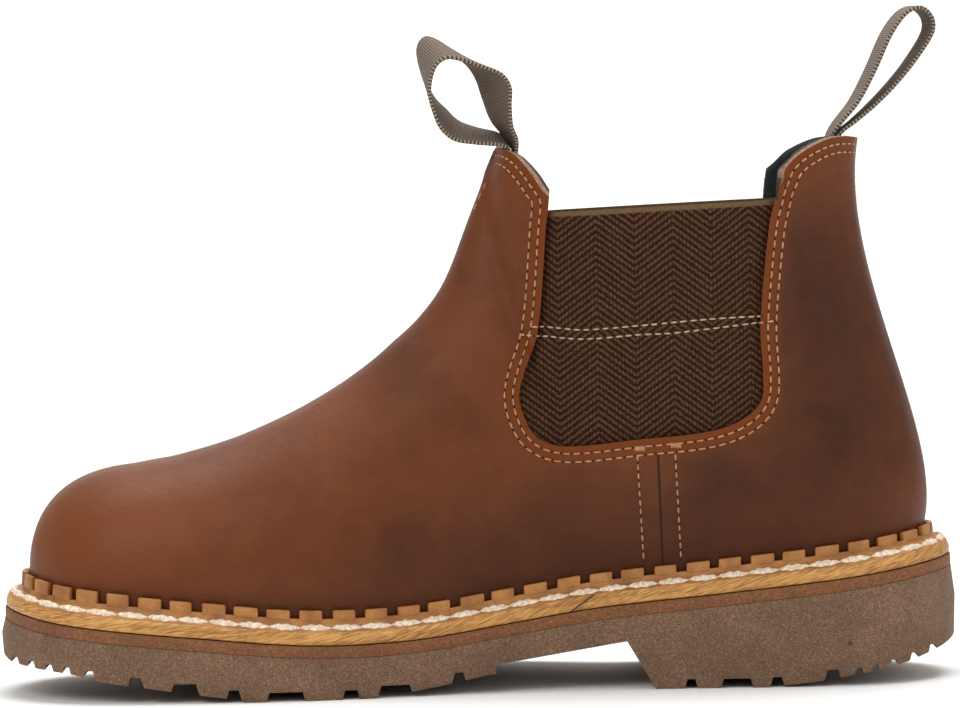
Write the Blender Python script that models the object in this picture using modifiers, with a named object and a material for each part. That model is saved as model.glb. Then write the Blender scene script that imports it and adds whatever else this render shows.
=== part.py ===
# Side gore work boot, right foot, standing on its sole.
# Metres, +Z up, toe towards -X, medial side towards -Y, origin on the floor under the middle.

import math

import bmesh
import bpy
import numpy as np

OBJECT = "side_gore_work_boot"

# Sole sizes
SOLE_LENGTH = 0.290
BALL_WIDTH = 0.106
FOREPART_EDGE = 0.0203      # floor to the top of the welt's edge under the ball
TOE_SPRING = 0.0125
HEEL_LIFT = 0.021           # how much higher the edge lies at the heel than at the ball
HEEL_ROLL = 0.015           # how far the tread is rolled up behind the heel
ARCH_FRONT = 0.0085         # height of the waist behind the last forepart lug
ARCH_HEIGHT = 0.0144        # height of the waist in front of the heel breast
MIDSOLE = 0.0036
GAP = 0.0003                # between pieces that touch
SOLE_DRAFT = 0.0011         # how far the outsole's top edge is set in from its widest line
WIDEST_AT = 0.45            # where that line lies, from the outsole's top down to its tread
TREAD_ROUND = 0.0004
LUG_DEPTH = 0.0028
WIDE_GROOVE = 0.0098
GROOVE_FLARE = 0.3          # side slope of a groove, in per out
CHANNEL_WIDTH = 0.004
CHANNEL_DEPTH = 0.0025
CHANNEL_OFFSET = 0.017      # long channels, from the axis of the last
CUT_BELOW = 0.004           # how far the cutters reach below the tread

# Welt sizes
WELT_EDGE = 0.0042
EDGE_INSET = 0.0015
EDGE_DRAFT = 0.0007
STITCH_SHELF = 0.0040
SHELF_RISE = 0.0018
RIB_THICK = 0.0020
RIB_FLOOR = 0.0006          # height of the rib between its blocks, above the shelf
RIB_HEIGHT = 0.0038
RIB_LEAN = 0.0003
RIB_PITCH = 0.0097
RIB_BLOCK = 0.67            # share of the pitch that is block

# Upper sizes
LEATHER = 0.0020
COLLAR_HEIGHT = 0.163
COLLAR_WIDTH = 0.078
INSOLE = 0.0040
INSOLE_GAP = 0.0016         # from the wall's inner face, which leans a little over its edge
GORE_LENGTH = 0.0730        # along the foot
GORE_DROP = 0.0725          # from the top edge to the lowest point
GORE_FRONT = 0.1583         # from the toe end of the sole back to the gore's front bulge
GORE_TOP = 0.1448           # height of the gore's rear top corner
GORE_THICK = 0.0018
GORE_GAP = 0.0008           # behind the leather, whose inner face is faceted
GORE_OVERLAP = 0.008        # how far the elastic reaches behind the leather
GORE_RAKE = 0.1             # lean of the leather's edge at the gore's top corners, back per up
WEBBING_WIDTH = 0.019
WEBBING_THICK = 0.0016
LOOP_HEIGHT = 0.040

# Facets
OUTLINE_STEPS = 12          # fine points between two rows of the outline
LAYER_STEP = 4              # every so many fine points make a layer's corner
WALL_LEVELS = 13
TOE_STEPS = 2
TOE_ROWS = 9
GORE_STEPS = 2
LOOP_STEPS = 3
SMOOTH_ANGLE = 38
WELD = 0.00003
CUTTER_REACH = 0.09         # how far the cutters reach to each side of the part

# Sole outline: share of SOLE_LENGTH from the toe, reach to each side as shares of BALL_WIDTH
PLAN = (
    # along, medial, lateral
    (0.000, 0.010, -0.010),
    (0.012, 0.172, 0.150),
    (0.048, 0.312, 0.292),
    (0.100, 0.398, 0.383),
    (0.162, 0.430, 0.434),
    (0.225, 0.441, 0.488),
    (0.290, 0.443, 0.530),
    (0.370, 0.418, 0.552),
    (0.450, 0.375, 0.537),
    (0.540, 0.334, 0.480),
    (0.630, 0.316, 0.418),
    (0.720, 0.320, 0.374),
    (0.800, 0.332, 0.355),
    (0.870, 0.336, 0.347),
    (0.925, 0.307, 0.314),
    (0.968, 0.224, 0.228),
    (0.992, 0.119, 0.119),
    (1.000, 0.000, 0.000),
)

# Top of the welt's edge above its lowest height
EDGE_LINE = (
    # along, size, share of it
    (0.000, TOE_SPRING, 0.86),
    (0.056, TOE_SPRING, 0.62),
    (0.113, TOE_SPRING, 0.46),
    (0.214, TOE_SPRING, 0.24),
    (0.331, TOE_SPRING, 0.01),
    (0.432, HEEL_LIFT, 0.03),
    (0.526, HEEL_LIFT, 0.205),
    (0.609, HEEL_LIFT, 0.380),
    (0.666, HEEL_LIFT, 0.465),
    (0.748, HEEL_LIFT, 0.570),
    (0.872, HEEL_LIFT, 0.752),
    (0.962, HEEL_LIFT, 0.925),
    (1.000, HEEL_LIFT, 1.000),
)

# Under side of the lugs above the floor, flat under the forefoot and under the heel
TREAD_LINE = (
    # along, size, share of it
    (0.000, TOE_SPRING, 1.00),
    (0.014, TOE_SPRING, 0.85),
    (0.084, TOE_SPRING, 0.69),
    (0.121, TOE_SPRING, 0.50),
    (0.170, TOE_SPRING, 0.34),
    (0.228, TOE_SPRING, 0.15),
    (0.271, TOE_SPRING, 0.00),
    (0.386, TOE_SPRING, 0.00),
    (0.434, ARCH_FRONT, 0.19),
    (0.469, ARCH_FRONT, 0.40),
    (0.520, ARCH_FRONT, 0.73),
    (0.620, ARCH_FRONT, 0.00),
    (0.797, HEEL_ROLL, 0.00),
    (0.852, HEEL_ROLL, 0.12),
    (0.878, HEEL_ROLL, 0.20),
    (0.914, HEEL_ROLL, 0.31),
    (0.936, HEEL_ROLL, 0.40),
    (0.959, HEEL_ROLL, 0.53),
    (0.982, HEEL_ROLL, 0.67),
    (0.996, HEEL_ROLL, 0.79),
    (1.000, HEEL_ROLL, 0.85),
)

# Grooves straight across the tread, with small notches round the toe and the heel
GROOVES = (
    # along, share of WIDE_GROOVE, share of LUG_DEPTH
    (0.020, 0.16, 0.65),
    (0.039, 0.16, 0.65),
    (0.059, 0.16, 0.65),
    (0.078, 0.16, 0.65),
    (0.102, 0.24, 0.80),
    (0.150, 0.32, 1.00),
    (0.200, 0.69, 1.00),
    (0.250, 0.30, 1.00),
    (0.303, 1.00, 1.00),
    (0.369, 0.36, 1.00),
    (0.414, 0.85, 1.00),
    (0.479, 0.24, 1.00),
    (0.717, 0.24, 1.00),
    (0.764, 0.81, 1.00),
    (0.805, 0.27, 1.00),
    (0.862, 0.32, 1.00),
    (0.889, 0.16, 0.65),
    (0.906, 0.16, 0.65),
    (0.926, 0.16, 0.65),
    (0.948, 0.16, 0.65),
    (0.969, 0.16, 0.65),
)

# Waist between the forepart and the heel breast
WAIST_FRONT = 0.517
WAIST_REAR = 0.652
BREAST_FOOT = 0.681

# Long channels: from and to, as shares of SOLE_LENGTH
CHANNELS = ((0.070, 0.510), (0.690, 0.950))

# Upper: a curve from the feather line up to the ridge of the vamp or to the collar in each row.
# foot is a share of the feather line, top_x and bow_x are shares of SOLE_LENGTH, top_y and bow_y
# of half the COLLAR_WIDTH, top_z, up and bow_z of COLLAR_HEIGHT, and out of BALL_WIDTH.
WALL = (
    # foot, top_x, top_y, top_z, out, up, bow_x, bow_y, bow_z
    (0.000, 0.141, 0.000, 0.4190, 0.006, 0.110, -0.080, 0.00, -0.010),
    (0.012, 0.144, 0.000, 0.4195, 0.012, 0.110, -0.071, 0.28, -0.010),
    (0.050, 0.151, 0.000, 0.4210, 0.022, 0.112, -0.051, 0.49, -0.007),
    (0.105, 0.165, 0.000, 0.4260, 0.032, 0.115, -0.026, 0.64, -0.004),
    (0.170, 0.193, 0.000, 0.4355, 0.046, 0.120, -0.004, 0.72, -0.001),
    (0.250, 0.255, 0.000, 0.4680, 0.054, 0.130, 0.000, 0.72, 0.000),
    (0.325, 0.324, 0.000, 0.5230, 0.057, 0.160, 0.000, 0.70, 0.000),
    (0.395, 0.390, 0.000, 0.5975, 0.053, 0.200, 0.000, 0.65, 0.000),
    (0.455, 0.438, 0.000, 0.6750, 0.046, 0.240, -0.004, 0.60, -0.008),
    (0.500, 0.467, 0.000, 0.7350, 0.042, 0.260, -0.008, 0.58, -0.025),
    (0.535, 0.4845, 0.000, 0.8100, 0.040, 0.260, -0.013, 0.56, -0.055),
    (0.565, 0.500, 0.000, 0.8870, 0.042, 0.250, -0.020, 0.53, -0.090),
    (0.590, 0.516, 0.000, 0.9510, 0.046, 0.245, -0.030, 0.48, -0.125),
    (0.610, 0.527, 0.000, 0.9926, 0.050, 0.240, -0.038, 0.42, -0.155),
    (0.625, 0.534, 0.230, 0.9910, 0.053, 0.230, -0.035, 0.32, -0.185),
    (0.640, 0.547, 0.410, 0.9790, 0.055, 0.225, -0.028, 0.22, -0.210),
    (0.655, 0.563, 0.610, 0.9450, 0.056, 0.220, -0.018, 0.11, -0.235),
    (0.668, 0.577, 0.740, 0.9080, 0.057, 0.215, -0.008, 0.01, -0.250),
    (0.685, 0.594, 0.835, 0.8980, 0.058, 0.210, 0.000, -0.08, -0.265),
    (0.730, 0.645, 0.960, 0.8960, 0.060, 0.200, 0.008, -0.17, -0.275),
    (0.785, 0.703, 1.000, 0.8990, 0.061, 0.190, 0.010, -0.20, -0.280),
    (0.840, 0.762, 0.960, 0.9040, 0.061, 0.180, 0.008, -0.18, -0.280),
    (0.885, 0.815, 0.800, 0.9140, 0.059, 0.170, 0.004, -0.12, -0.265),
    (0.905, 0.824, 0.745, 0.9460, 0.056, 0.165, 0.000, -0.09, -0.255),
    (0.930, 0.843, 0.680, 0.9755, 0.058, 0.162, -0.008, -0.06, -0.245),
    (0.958, 0.873, 0.485, 0.9985, 0.060, 0.160, -0.015, -0.03, -0.240),
    (0.985, 0.899, 0.245, 1.0005, 0.064, 0.165, -0.021, -0.01, -0.240),
    (1.000, 0.9066, 0.000, 0.9985, 0.065, 0.168, -0.024, 0.00, -0.240),
)

TAB_ROW = 13                # row of the table at the middle of the front tab

# Edge of the leather round the elastic, from the front top corner down and round to the rear
GORE_EDGE = (
    # along, as a share of GORE_LENGTH; drop, as a share of GORE_DROP
    (0.133, 0.034),
    (0.123, 0.104),
    (0.086, 0.503),
    (0.022, 0.702),
    (0.003, 0.808),
    (0.049, 0.935),
    (0.118, 0.986),
    (0.230, 1.000),
    (0.486, 0.975),
    (0.734, 0.953),
    (0.885, 0.912),
    (0.985, 0.828),
    (0.997, 0.705),
    (0.990, 0.497),
    (1.030, 0.121),
    (1.061, 0.000),
)
GORE_EXTENSION = 0.10       # how far its cutter runs on above the top corners, of GORE_DROP

# Pull loops, one row for each place along the webbing. forward and up are shares of LOOP_HEIGHT
# from the root, lean_x and lean_z are shares of WEBBING_WIDTH from the near edge to the far one.
FRONT_LOOP = (
    # forward, up, lean_x, lean_z
    (0.130, -0.300, 0.00, 0.00),
    (0.212, -0.030, 0.00, 0.00),
    (0.168, 0.085, -0.16, 0.08),
    (0.060, 0.195, -0.31, 0.13),
    (0.018, 0.355, -0.44, 0.15),
    (-0.002, 0.490, -0.54, 0.15),
    (-0.070, 0.597, -0.54, 0.17),
    (-0.220, 0.690, -0.48, 0.28),
    (-0.332, 0.748, -0.42, 0.34),
    (-0.438, 0.768, -0.36, 0.36),
    (-0.510, 0.683, -0.28, 0.31),
    (-0.510, 0.495, -0.10, 0.24),
    (-0.460, 0.340, -0.02, 0.25),
    (-0.388, 0.228, 0.05, 0.33),
    (-0.290, 0.158, 0.05, 0.30),
    (-0.145, 0.115, 0.03, 0.20),
    (0.005, 0.090, 0.02, 0.10),
    (0.130, 0.040, 0.00, 0.02),
    (0.155, -0.030, 0.00, 0.00),
    (0.075, -0.295, 0.00, 0.00),
)
REAR_LOOP = (
    # forward, up, lean_x, lean_z
    (-0.235, -0.270, 0.00, 0.00),
    (-0.229, -0.030, 0.00, 0.00),
    (-0.170, 0.095, -0.04, 0.01),
    (-0.022, 0.280, -0.06, 0.02),
    (0.110, 0.525, -0.07, 0.02),
    (0.222, 0.768, -0.07, 0.03),
    (0.335, 0.925, -0.07, 0.03),
    (0.440, 0.978, -0.07, 0.03),
    (0.515, 0.938, -0.07, 0.03),
    (0.550, 0.855, -0.07, 0.03),
    (0.522, 0.750, -0.07, 0.03),
    (0.390, 0.555, -0.06, 0.02),
    (0.252, 0.392, -0.05, 0.02),
    (0.110, 0.250, -0.04, 0.01),
    (-0.030, 0.130, -0.02, 0.00),
    (-0.140, 0.045, 0.00, 0.00),
    (-0.174, -0.030, 0.00, 0.00),
    (-0.181, -0.270, 0.00, 0.00),
)

TOE_X = -SOLE_LENGTH / 2
MEDIAL_REACH = BALL_WIDTH * max(row[1] for row in PLAN)
LATERAL_REACH = BALL_WIDTH * max(row[2] for row in PLAN)
AXIS_Y = (MEDIAL_REACH - LATERAL_REACH) / 2
RIB_INSET = EDGE_INSET + EDGE_DRAFT + STITCH_SHELF
FEATHER_INSET = RIB_INSET + RIB_LEAN + RIB_THICK + GAP
RIB_TOP = SHELF_RISE + RIB_HEIGHT


def sole_x(along):
    return TOE_X + along * SOLE_LENGTH


def curve_through(points, steps, closed=False):
    """Even points on a smooth curve that passes through the given ones."""
    points = np.asarray(points, float)
    count = len(points)
    if closed:
        padded = np.concatenate([points[-1:], points, points[:2]])
        spans = count
    else:
        padded = np.concatenate([[2 * points[0] - points[1]], points, [2 * points[-1] - points[-2]]])
        spans = count - 1
    out = []
    for i in range(spans):
        a, b, c, d = padded[i:i + 4]
        for step in range(steps):
            t = step / steps
            out.append(0.5 * (2 * b + (c - a) * t + (2 * a - 5 * b + 4 * c - d) * t ** 2
                              + (3 * b - 3 * c + d - a) * t ** 3))
    if not closed:
        out.append(points[-1])
    return np.array(out)


def height_line(rows, x, smooth):
    """Height of a side line at x, through the rows of its table."""
    along = np.array([row[0] for row in rows])
    rise = np.array([row[1] * row[2] for row in rows])
    if smooth:
        fine = curve_through(np.column_stack([along, rise]), OUTLINE_STEPS)
        along, rise = fine[:, 0], fine[:, 1]
    return float(np.interp((x - TOE_X) / SOLE_LENGTH, along, rise))


def edge_height(x):
    return FOREPART_EDGE + height_line(EDGE_LINE, x, smooth=True)


def tread_height(x):
    return height_line(TREAD_LINE, x, smooth=False)


def midsole_top(x):
    return edge_height(x) - WELT_EDGE - GAP


def midsole_bottom(x):
    return midsole_top(x) - MIDSOLE


def outsole_top(x):
    return midsole_bottom(x) - GAP


def inside_floor(x):
    return midsole_top(x) + GAP


def plan_loop():
    """Fine points of the sole's outline, from the toe round the medial side, and inward normals."""
    medial = [(sole_x(a), AXIS_Y - BALL_WIDTH * m) for a, m, _ in PLAN]
    lateral = [(sole_x(a), AXIS_Y + BALL_WIDTH * w) for a, _, w in PLAN[1:-1]]
    points = curve_through(medial + lateral[::-1], OUTLINE_STEPS, closed=True)
    tangent = np.roll(points, -1, axis=0) - np.roll(points, 1, axis=0)
    tangent /= np.linalg.norm(tangent, axis=1)[:, None]
    return points, np.column_stack([-tangent[:, 1], tangent[:, 0]])


LOOP_POINTS, LOOP_NORMALS = plan_loop()
HALF = (len(PLAN) - 1) * OUTLINE_STEPS


def inset_loop(inset):
    return LOOP_POINTS + LOOP_NORMALS * inset


def new_object(name, bm, material, smooth=False):
    bmesh.ops.recalc_face_normals(bm, faces=bm.faces)
    mesh = bpy.data.meshes.new(name)
    bm.to_mesh(mesh)
    bm.free()
    obj = bpy.data.objects.new(name, mesh)
    if smooth:
        mesh.shade_smooth()
        mesh.set_sharp_from_angle(angle=math.radians(SMOOTH_ANGLE))
    if material is not None:
        mesh.materials.append(material)
        parts.objects.link(obj)
    else:
        obj.hide_render = True
        obj.display_type = "WIRE"
        cutters.objects.link(obj)
    return obj


def material_of(name, colour, roughness):
    material = bpy.data.materials.new(name)
    material.use_nodes = True
    shader = material.node_tree.nodes["Principled BSDF"]
    shader.inputs["Base Color"].default_value = (*colour, 1.0)
    shader.inputs["Roughness"].default_value = roughness
    shader.inputs["Metallic"].default_value = 0.0
    material.diffuse_color = (*colour, 1.0)
    return material


def bridge(bm, first, second, closed=True):
    """Quads between two rows of vertices."""
    count = len(first)
    for i in range(count if closed else count - 1):
        j = (i + 1) % count
        bm.faces.new((first[i], first[j], second[j], second[i]))


def ladder_cap(bm, ring):
    """Closes a ring with rungs from the medial to the lateral side."""
    count = len(ring)
    half = count // 2
    for i in range(half):
        corners = (ring[i], ring[i + 1], ring[(count - i - 1) % count], ring[(count - i) % count])
        bm.faces.new(dict.fromkeys(corners))


def layer(name, rings, material):
    """A sole layer lofted through rings, each an inset from the outline and a height for every x."""
    bm = bmesh.new()
    loops = []
    for inset, height in rings:
        points = inset_loop(inset)[::LAYER_STEP]
        loops.append([bm.verts.new((x, y, height(x))) for x, y in points])
    for first, second in zip(loops, loops[1:]):
        bridge(bm, first, second)
    ladder_cap(bm, loops[0])
    ladder_cap(bm, loops[-1])
    return new_object(name, bm, material, smooth=True)


def prism(bm, outline, low_y, high_y):
    """An outline in X and Z run straight across from low_y to high_y."""
    near = [bm.verts.new((x, low_y, z)) for x, z in outline]
    far = [bm.verts.new((x, high_y, z)) for x, z in outline]
    bridge(bm, near, far)
    bm.faces.new(near)
    bm.faces.new(far[::-1])


def cut(obj, cutter, operation="DIFFERENCE"):
    modifier = obj.modifiers.new(cutter.name, "BOOLEAN")
    modifier.operation = operation
    modifier.object = cutter
    modifier.solver = "EXACT"


def groove_cutter():
    bm = bmesh.new()
    for along, width, depth in GROOVES:
        x = sole_x(along)
        top = tread_height(x) + depth * LUG_DEPTH
        bottom = tread_height(x) - CUT_BELOW
        half_top = width * WIDE_GROOVE / 2
        half_bottom = half_top + (top - bottom) * GROOVE_FLARE
        outline = (
            (x - half_bottom, bottom),
            (x - half_top, top),
            (x + half_top, top),
            (x + half_bottom, bottom),
        )
        prism(bm, outline, -CUTTER_REACH, CUTTER_REACH)
    return new_object("tread_grooves", bm, None)


def waist_cutter():
    bm = bmesh.new()
    outline = (
        (sole_x(WAIST_FRONT), -CUT_BELOW),
        (sole_x(WAIST_FRONT), ARCH_FRONT),
        (sole_x(WAIST_REAR), ARCH_HEIGHT),
        (sole_x(BREAST_FOOT), 0.0),
        (sole_x(BREAST_FOOT), -CUT_BELOW),
    )
    prism(bm, outline, -CUTTER_REACH, CUTTER_REACH)
    return new_object("waist_and_breast", bm, None)


def channel_cutter():
    bm = bmesh.new()
    for side in (-1, 1):
        for start, end in CHANNELS:
            stations = [start, *(row[0] for row in TREAD_LINE if start < row[0] < end), end]
            rings = []
            for along in stations:
                x = sole_x(along)
                low = tread_height(x) - CUT_BELOW
                high = tread_height(x) + CHANNEL_DEPTH
                inner = AXIS_Y + side * CHANNEL_OFFSET
                outer = inner + side * CHANNEL_WIDTH
                corners = ((inner, low), (outer, low), (outer, high), (inner, high))
                rings.append([bm.verts.new((x, y, z)) for y, z in corners])
            for first, second in zip(rings, rings[1:]):
                bridge(bm, first, second)
            bm.faces.new(rings[0])
            bm.faces.new(rings[-1][::-1])
    return new_object("tread_channels", bm, None)


def outsole():
    def widest(x):
        return outsole_top(x) + (tread_height(x) - outsole_top(x)) * WIDEST_AT

    rings = ((SOLE_DRAFT, outsole_top), (0.0, widest), (TREAD_ROUND, tread_height))
    obj = layer("outsole", rings, material_of("moulded_rubber", (0.21, 0.13, 0.08), 0.8))
    cut(obj, waist_cutter())
    cut(obj, groove_cutter())
    cut(obj, channel_cutter())
    return obj


def midsole():
    rings = ((EDGE_INSET - GAP, midsole_top), (EDGE_INSET - GAP, midsole_bottom))
    return layer("midsole", rings, material_of("reddish_rubber", (0.20, 0.07, 0.035), 0.7))


def insole():
    inset = FEATHER_INSET + LEATHER + INSOLE_GAP

    def top(x):
        return inside_floor(x) + INSOLE

    rings = ((inset, top), (inset, inside_floor))
    return layer("insole", rings, material_of("felt_footbed", (0.03, 0.035, 0.03), 0.95))


def welt():
    """A ring swept along the outline, with blocks standing on its inner rib."""
    base = (
        # inset, rise above the edge's top
        (EDGE_INSET, -WELT_EDGE),
        (EDGE_INSET + EDGE_DRAFT, 0.0),
        (RIB_INSET, SHELF_RISE),
        (RIB_INSET, SHELF_RISE + RIB_FLOOR),
        (RIB_INSET + RIB_LEAN + RIB_THICK, SHELF_RISE + RIB_FLOOR),
        (RIB_INSET + RIB_LEAN + RIB_THICK, -WELT_EDGE),
    )
    top = ((RIB_INSET + RIB_LEAN, RIB_TOP), (RIB_INSET + RIB_LEAN + RIB_THICK, RIB_TOP))
    rib = inset_loop(RIB_INSET)
    lengths = np.linalg.norm(np.roll(rib, -1, axis=0) - rib, axis=1)
    travelled = np.concatenate([[0.0], np.cumsum(lengths)])
    count = round(travelled[-1] / RIB_PITCH)
    steps = np.arange(len(travelled))
    wrapped_points = np.concatenate([LOOP_POINTS, LOOP_POINTS[:1]])
    wrapped_normals = np.concatenate([LOOP_NORMALS, LOOP_NORMALS[:1]])
    bm = bmesh.new()
    sections = []
    for block in range(count):
        for share in (0.5 - RIB_BLOCK / 2, 0.5 + RIB_BLOCK / 2):
            place = np.interp((block + share) / count * travelled[-1], travelled, steps)
            point = np.array([np.interp(place, steps, wrapped_points[:, k]) for k in (0, 1)])
            normal = np.array([np.interp(place, steps, wrapped_normals[:, k]) for k in (0, 1)])
            normal /= np.linalg.norm(normal)
            section = []
            for inset, rise in base + top:
                x, y = point + normal * inset
                section.append(bm.verts.new((x, y, edge_height(x) + rise)))
            sections.append(section)
    for i, first in enumerate(sections):
        second = sections[(i + 1) % len(sections)]
        is_block = i % 2 == 0
        around = (0, 1, 2, 3, 6, 7, 4, 5) if is_block else (0, 1, 2, 3, 4, 5)
        for a, b in zip(around, around[1:] + around[:1]):
            bm.faces.new((first[a], first[b], second[b], second[a]))
        bm.faces.new([first[k] for k in ((3, 6, 7, 4) if is_block else (4, 7, 6, 3))])
    return new_object("welt", bm, material_of("tan_welt_leather", (0.42, 0.20, 0.06), 0.55))


def wall_rows():
    """The wall's table, with rows filled in: more of them round the toe than along the collar."""
    rows = np.array(WALL)
    fine = curve_through(rows, TOE_STEPS)
    toe_end = TOE_ROWS * TOE_STEPS
    return np.concatenate([fine[:toe_end], fine[toe_end::TOE_STEPS]])


def feather_point(side, share):
    """Point of the feather line and its outward normal, at a share of the line's length along X."""
    loop = inset_loop(FEATHER_INSET)
    picks = np.arange(HALF + 1) if side < 0 else -np.arange(HALF + 1) % len(loop)
    line, normals = loop[picks], -LOOP_NORMALS[picks]
    x = line[0, 0] + share * (line[-1, 0] - line[0, 0])
    y = np.interp(x, line[:, 0], line[:, 1])
    normal = np.array([np.interp(x, line[:, 0], normals[:, k]) for k in (0, 1)])
    return np.array([x, y]), normal / np.linalg.norm(normal)


def wall_line(side, row):
    """One curve of the wall, from its lower edge beside the insole up to the ridge or the collar."""
    foot, top_x, top_y, top_z, out, up, bow_x, bow_y, bow_z = row
    point, normal = feather_point(side, foot)
    half = COLLAR_WIDTH / 2
    rib_level = edge_height(point[0]) + RIB_TOP + GAP
    start = np.array([*point, rib_level])
    end = np.array([sole_x(top_x), AXIS_Y + side * top_y * half, top_z * COLLAR_HEIGHT])
    lift = start + np.array([*(normal * out * BALL_WIDTH), up * COLLAR_HEIGHT])
    bow = end + np.array([bow_x * SOLE_LENGTH, side * bow_y * half, bow_z * COLLAR_HEIGHT])
    points = [np.array([*point, inside_floor(point[0])])]
    for level in range(WALL_LEVELS + 1):
        t = level / WALL_LEVELS
        points.append((1 - t) ** 3 * start + 3 * (1 - t) ** 2 * t * lift
                      + 3 * (1 - t) * t ** 2 * bow + t ** 3 * end)
    return points


def wall_surface():
    """The outer surface of the upper, uncut, as an open mesh."""
    bm = bmesh.new()
    rows = wall_rows()
    for side in (-1, 1):
        lines = [[bm.verts.new(p) for p in wall_line(side, row)] for row in rows]
        for first, second in zip(lines, lines[1:]):
            corners = (first, second) if side < 0 else (second, first)
            bridge(bm, corners[1], corners[0], closed=False)
    bmesh.ops.remove_doubles(bm, verts=bm.verts, dist=WELD)
    bmesh.ops.dissolve_degenerate(bm, edges=bm.edges, dist=WELD)
    return bm


def shell(name, depth, thickness, material):
    """A wall of the given thickness whose outer face lies depth under the upper's outer surface."""
    obj = new_object(name, wall_surface(), material, smooth=True)
    if depth:
        sink = obj.modifiers.new("sink", "DISPLACE")
        sink.direction = "NORMAL"
        sink.mid_level = 0.0
        sink.strength = -depth
    solid = obj.modifiers.new("wall", "SOLIDIFY")
    solid.thickness = thickness
    solid.offset = -1.0
    solid.use_even_offset = True
    solid.use_quality_normals = True
    return obj


def gore_outline(grow):
    """Edge of the gore in X and Z, run on above its top corners or, when grown, closed along its top."""
    front = TOE_X + GORE_FRONT
    rows = [(front + along * GORE_LENGTH, GORE_TOP - drop * GORE_DROP) for along, drop in GORE_EDGE]
    fine = curve_through(rows, GORE_STEPS)
    if not grow:
        rise = GORE_EXTENSION * GORE_DROP
        above = (rise * GORE_RAKE, rise)
        return [fine[0] + above, *fine, fine[-1] + above]
    tangent = np.gradient(fine, axis=0)
    tangent /= np.linalg.norm(tangent, axis=1)[:, None]
    grown = fine + np.column_stack([tangent[:, 1], -tangent[:, 0]]) * grow
    ends = fine[[0, -1]]
    slope = (ends[1, 1] - ends[0, 1]) / (ends[1, 0] - ends[0, 0])
    for end in (0, -1):
        grown[end, 1] = ends[0, 1] + (grown[end, 0] - ends[0, 0]) * slope
    return list(grown)


def gore_cutter(name, grow, low_y, high_y):
    bm = bmesh.new()
    prism(bm, gore_outline(grow), low_y, high_y)
    return new_object(name, bm, None)


def upper():
    leather = material_of("oiled_leather", (0.19, 0.075, 0.035), 0.5)
    obj = shell("upper", 0.0, LEATHER, leather)
    cut(obj, gore_cutter("gore_notch", 0.0, -CUTTER_REACH, CUTTER_REACH))
    return obj


def gore(name, side):
    elastic = material_of(name + "_elastic", (0.045, 0.02, 0.012), 0.9)
    obj = shell(name, LEATHER + GORE_GAP, GORE_THICK, elastic)
    ends = sorted((AXIS_Y + side * GAP, AXIS_Y + side * CUTTER_REACH))
    cut(obj, gore_cutter(name + "_shape", GORE_OVERLAP, *ends), "INTERSECT")
    return obj


def pull_loop(name, wall_row, rows, material):
    """A flat webbing band through the rows, rooted at the top end of a row of the wall."""
    rows = curve_through(rows, LOOP_STEPS)
    centres = np.column_stack([
        sole_x(wall_row[1]) + rows[:, 0] * LOOP_HEIGHT,
        np.full(len(rows), AXIS_Y),
        wall_row[3] * COLLAR_HEIGHT + rows[:, 1] * LOOP_HEIGHT,
    ])
    tangents = np.gradient(centres, axis=0)
    bm = bmesh.new()
    sections = []
    for centre, tangent, (_, _, lean_x, lean_z) in zip(centres, tangents, rows):
        across = np.array([lean_x, math.sqrt(1 - lean_x ** 2 - lean_z ** 2), lean_z]) * WEBBING_WIDTH / 2
        normal = np.cross(tangent, across)
        normal *= WEBBING_THICK / 2 / np.linalg.norm(normal)
        corners = (centre - across - normal, centre + across - normal,
                   centre + across + normal, centre - across + normal)
        sections.append([bm.verts.new(corner) for corner in corners])
    for first, second in zip(sections, sections[1:]):
        bridge(bm, first, second)
    bm.faces.new(sections[0])
    bm.faces.new(sections[-1][::-1])
    return new_object(name, bm, material, smooth=True)


for old in list(bpy.data.objects):
    bpy.data.objects.remove(old, do_unlink=True)
parts = bpy.data.collections.new(OBJECT)
cutters = bpy.data.collections.new("cutters")
bpy.context.scene.collection.children.link(parts)
bpy.context.scene.collection.children.link(cutters)

outsole()
midsole()
welt()
insole()
upper()
gore("gore_medial", -1)
gore("gore_lateral", 1)
webbing = material_of("taupe_webbing", (0.16, 0.11, 0.08), 0.9)
pull_loop("pull_loop_front", WALL[TAB_ROW], FRONT_LOOP, webbing)
pull_loop("pull_loop_back", WALL[-1], REAR_LOOP, webbing)
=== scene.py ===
# Side gore work boot, right foot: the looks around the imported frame.
# Metres, +Z up, toe towards -X, medial side towards -Y.
import math
import random

import bmesh
import bpy
import numpy as np
from mathutils import Matrix, Vector
from mathutils.bvhtree import BVHTree


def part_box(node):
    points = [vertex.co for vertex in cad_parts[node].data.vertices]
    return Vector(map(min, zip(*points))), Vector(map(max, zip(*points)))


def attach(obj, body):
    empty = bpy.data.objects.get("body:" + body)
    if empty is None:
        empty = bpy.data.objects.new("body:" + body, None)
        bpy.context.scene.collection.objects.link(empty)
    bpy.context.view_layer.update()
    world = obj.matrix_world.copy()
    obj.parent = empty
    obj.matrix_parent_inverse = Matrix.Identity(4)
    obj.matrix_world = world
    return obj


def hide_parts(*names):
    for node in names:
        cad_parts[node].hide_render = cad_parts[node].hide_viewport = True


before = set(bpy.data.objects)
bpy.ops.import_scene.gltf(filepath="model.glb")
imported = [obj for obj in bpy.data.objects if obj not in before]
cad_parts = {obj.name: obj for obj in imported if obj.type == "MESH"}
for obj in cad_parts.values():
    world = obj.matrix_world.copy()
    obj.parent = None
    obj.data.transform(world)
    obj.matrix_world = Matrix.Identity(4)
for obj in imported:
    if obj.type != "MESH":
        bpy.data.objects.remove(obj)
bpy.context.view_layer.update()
soleLow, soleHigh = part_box("outsole")
print("frame loaded")

mm = 0.001
halfReach = 90 * mm     # further than either side of the boot
rayFrom = 200 * mm      # where rays to the hide start, well outside it
random.seed(7)


# Small helpers

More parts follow.
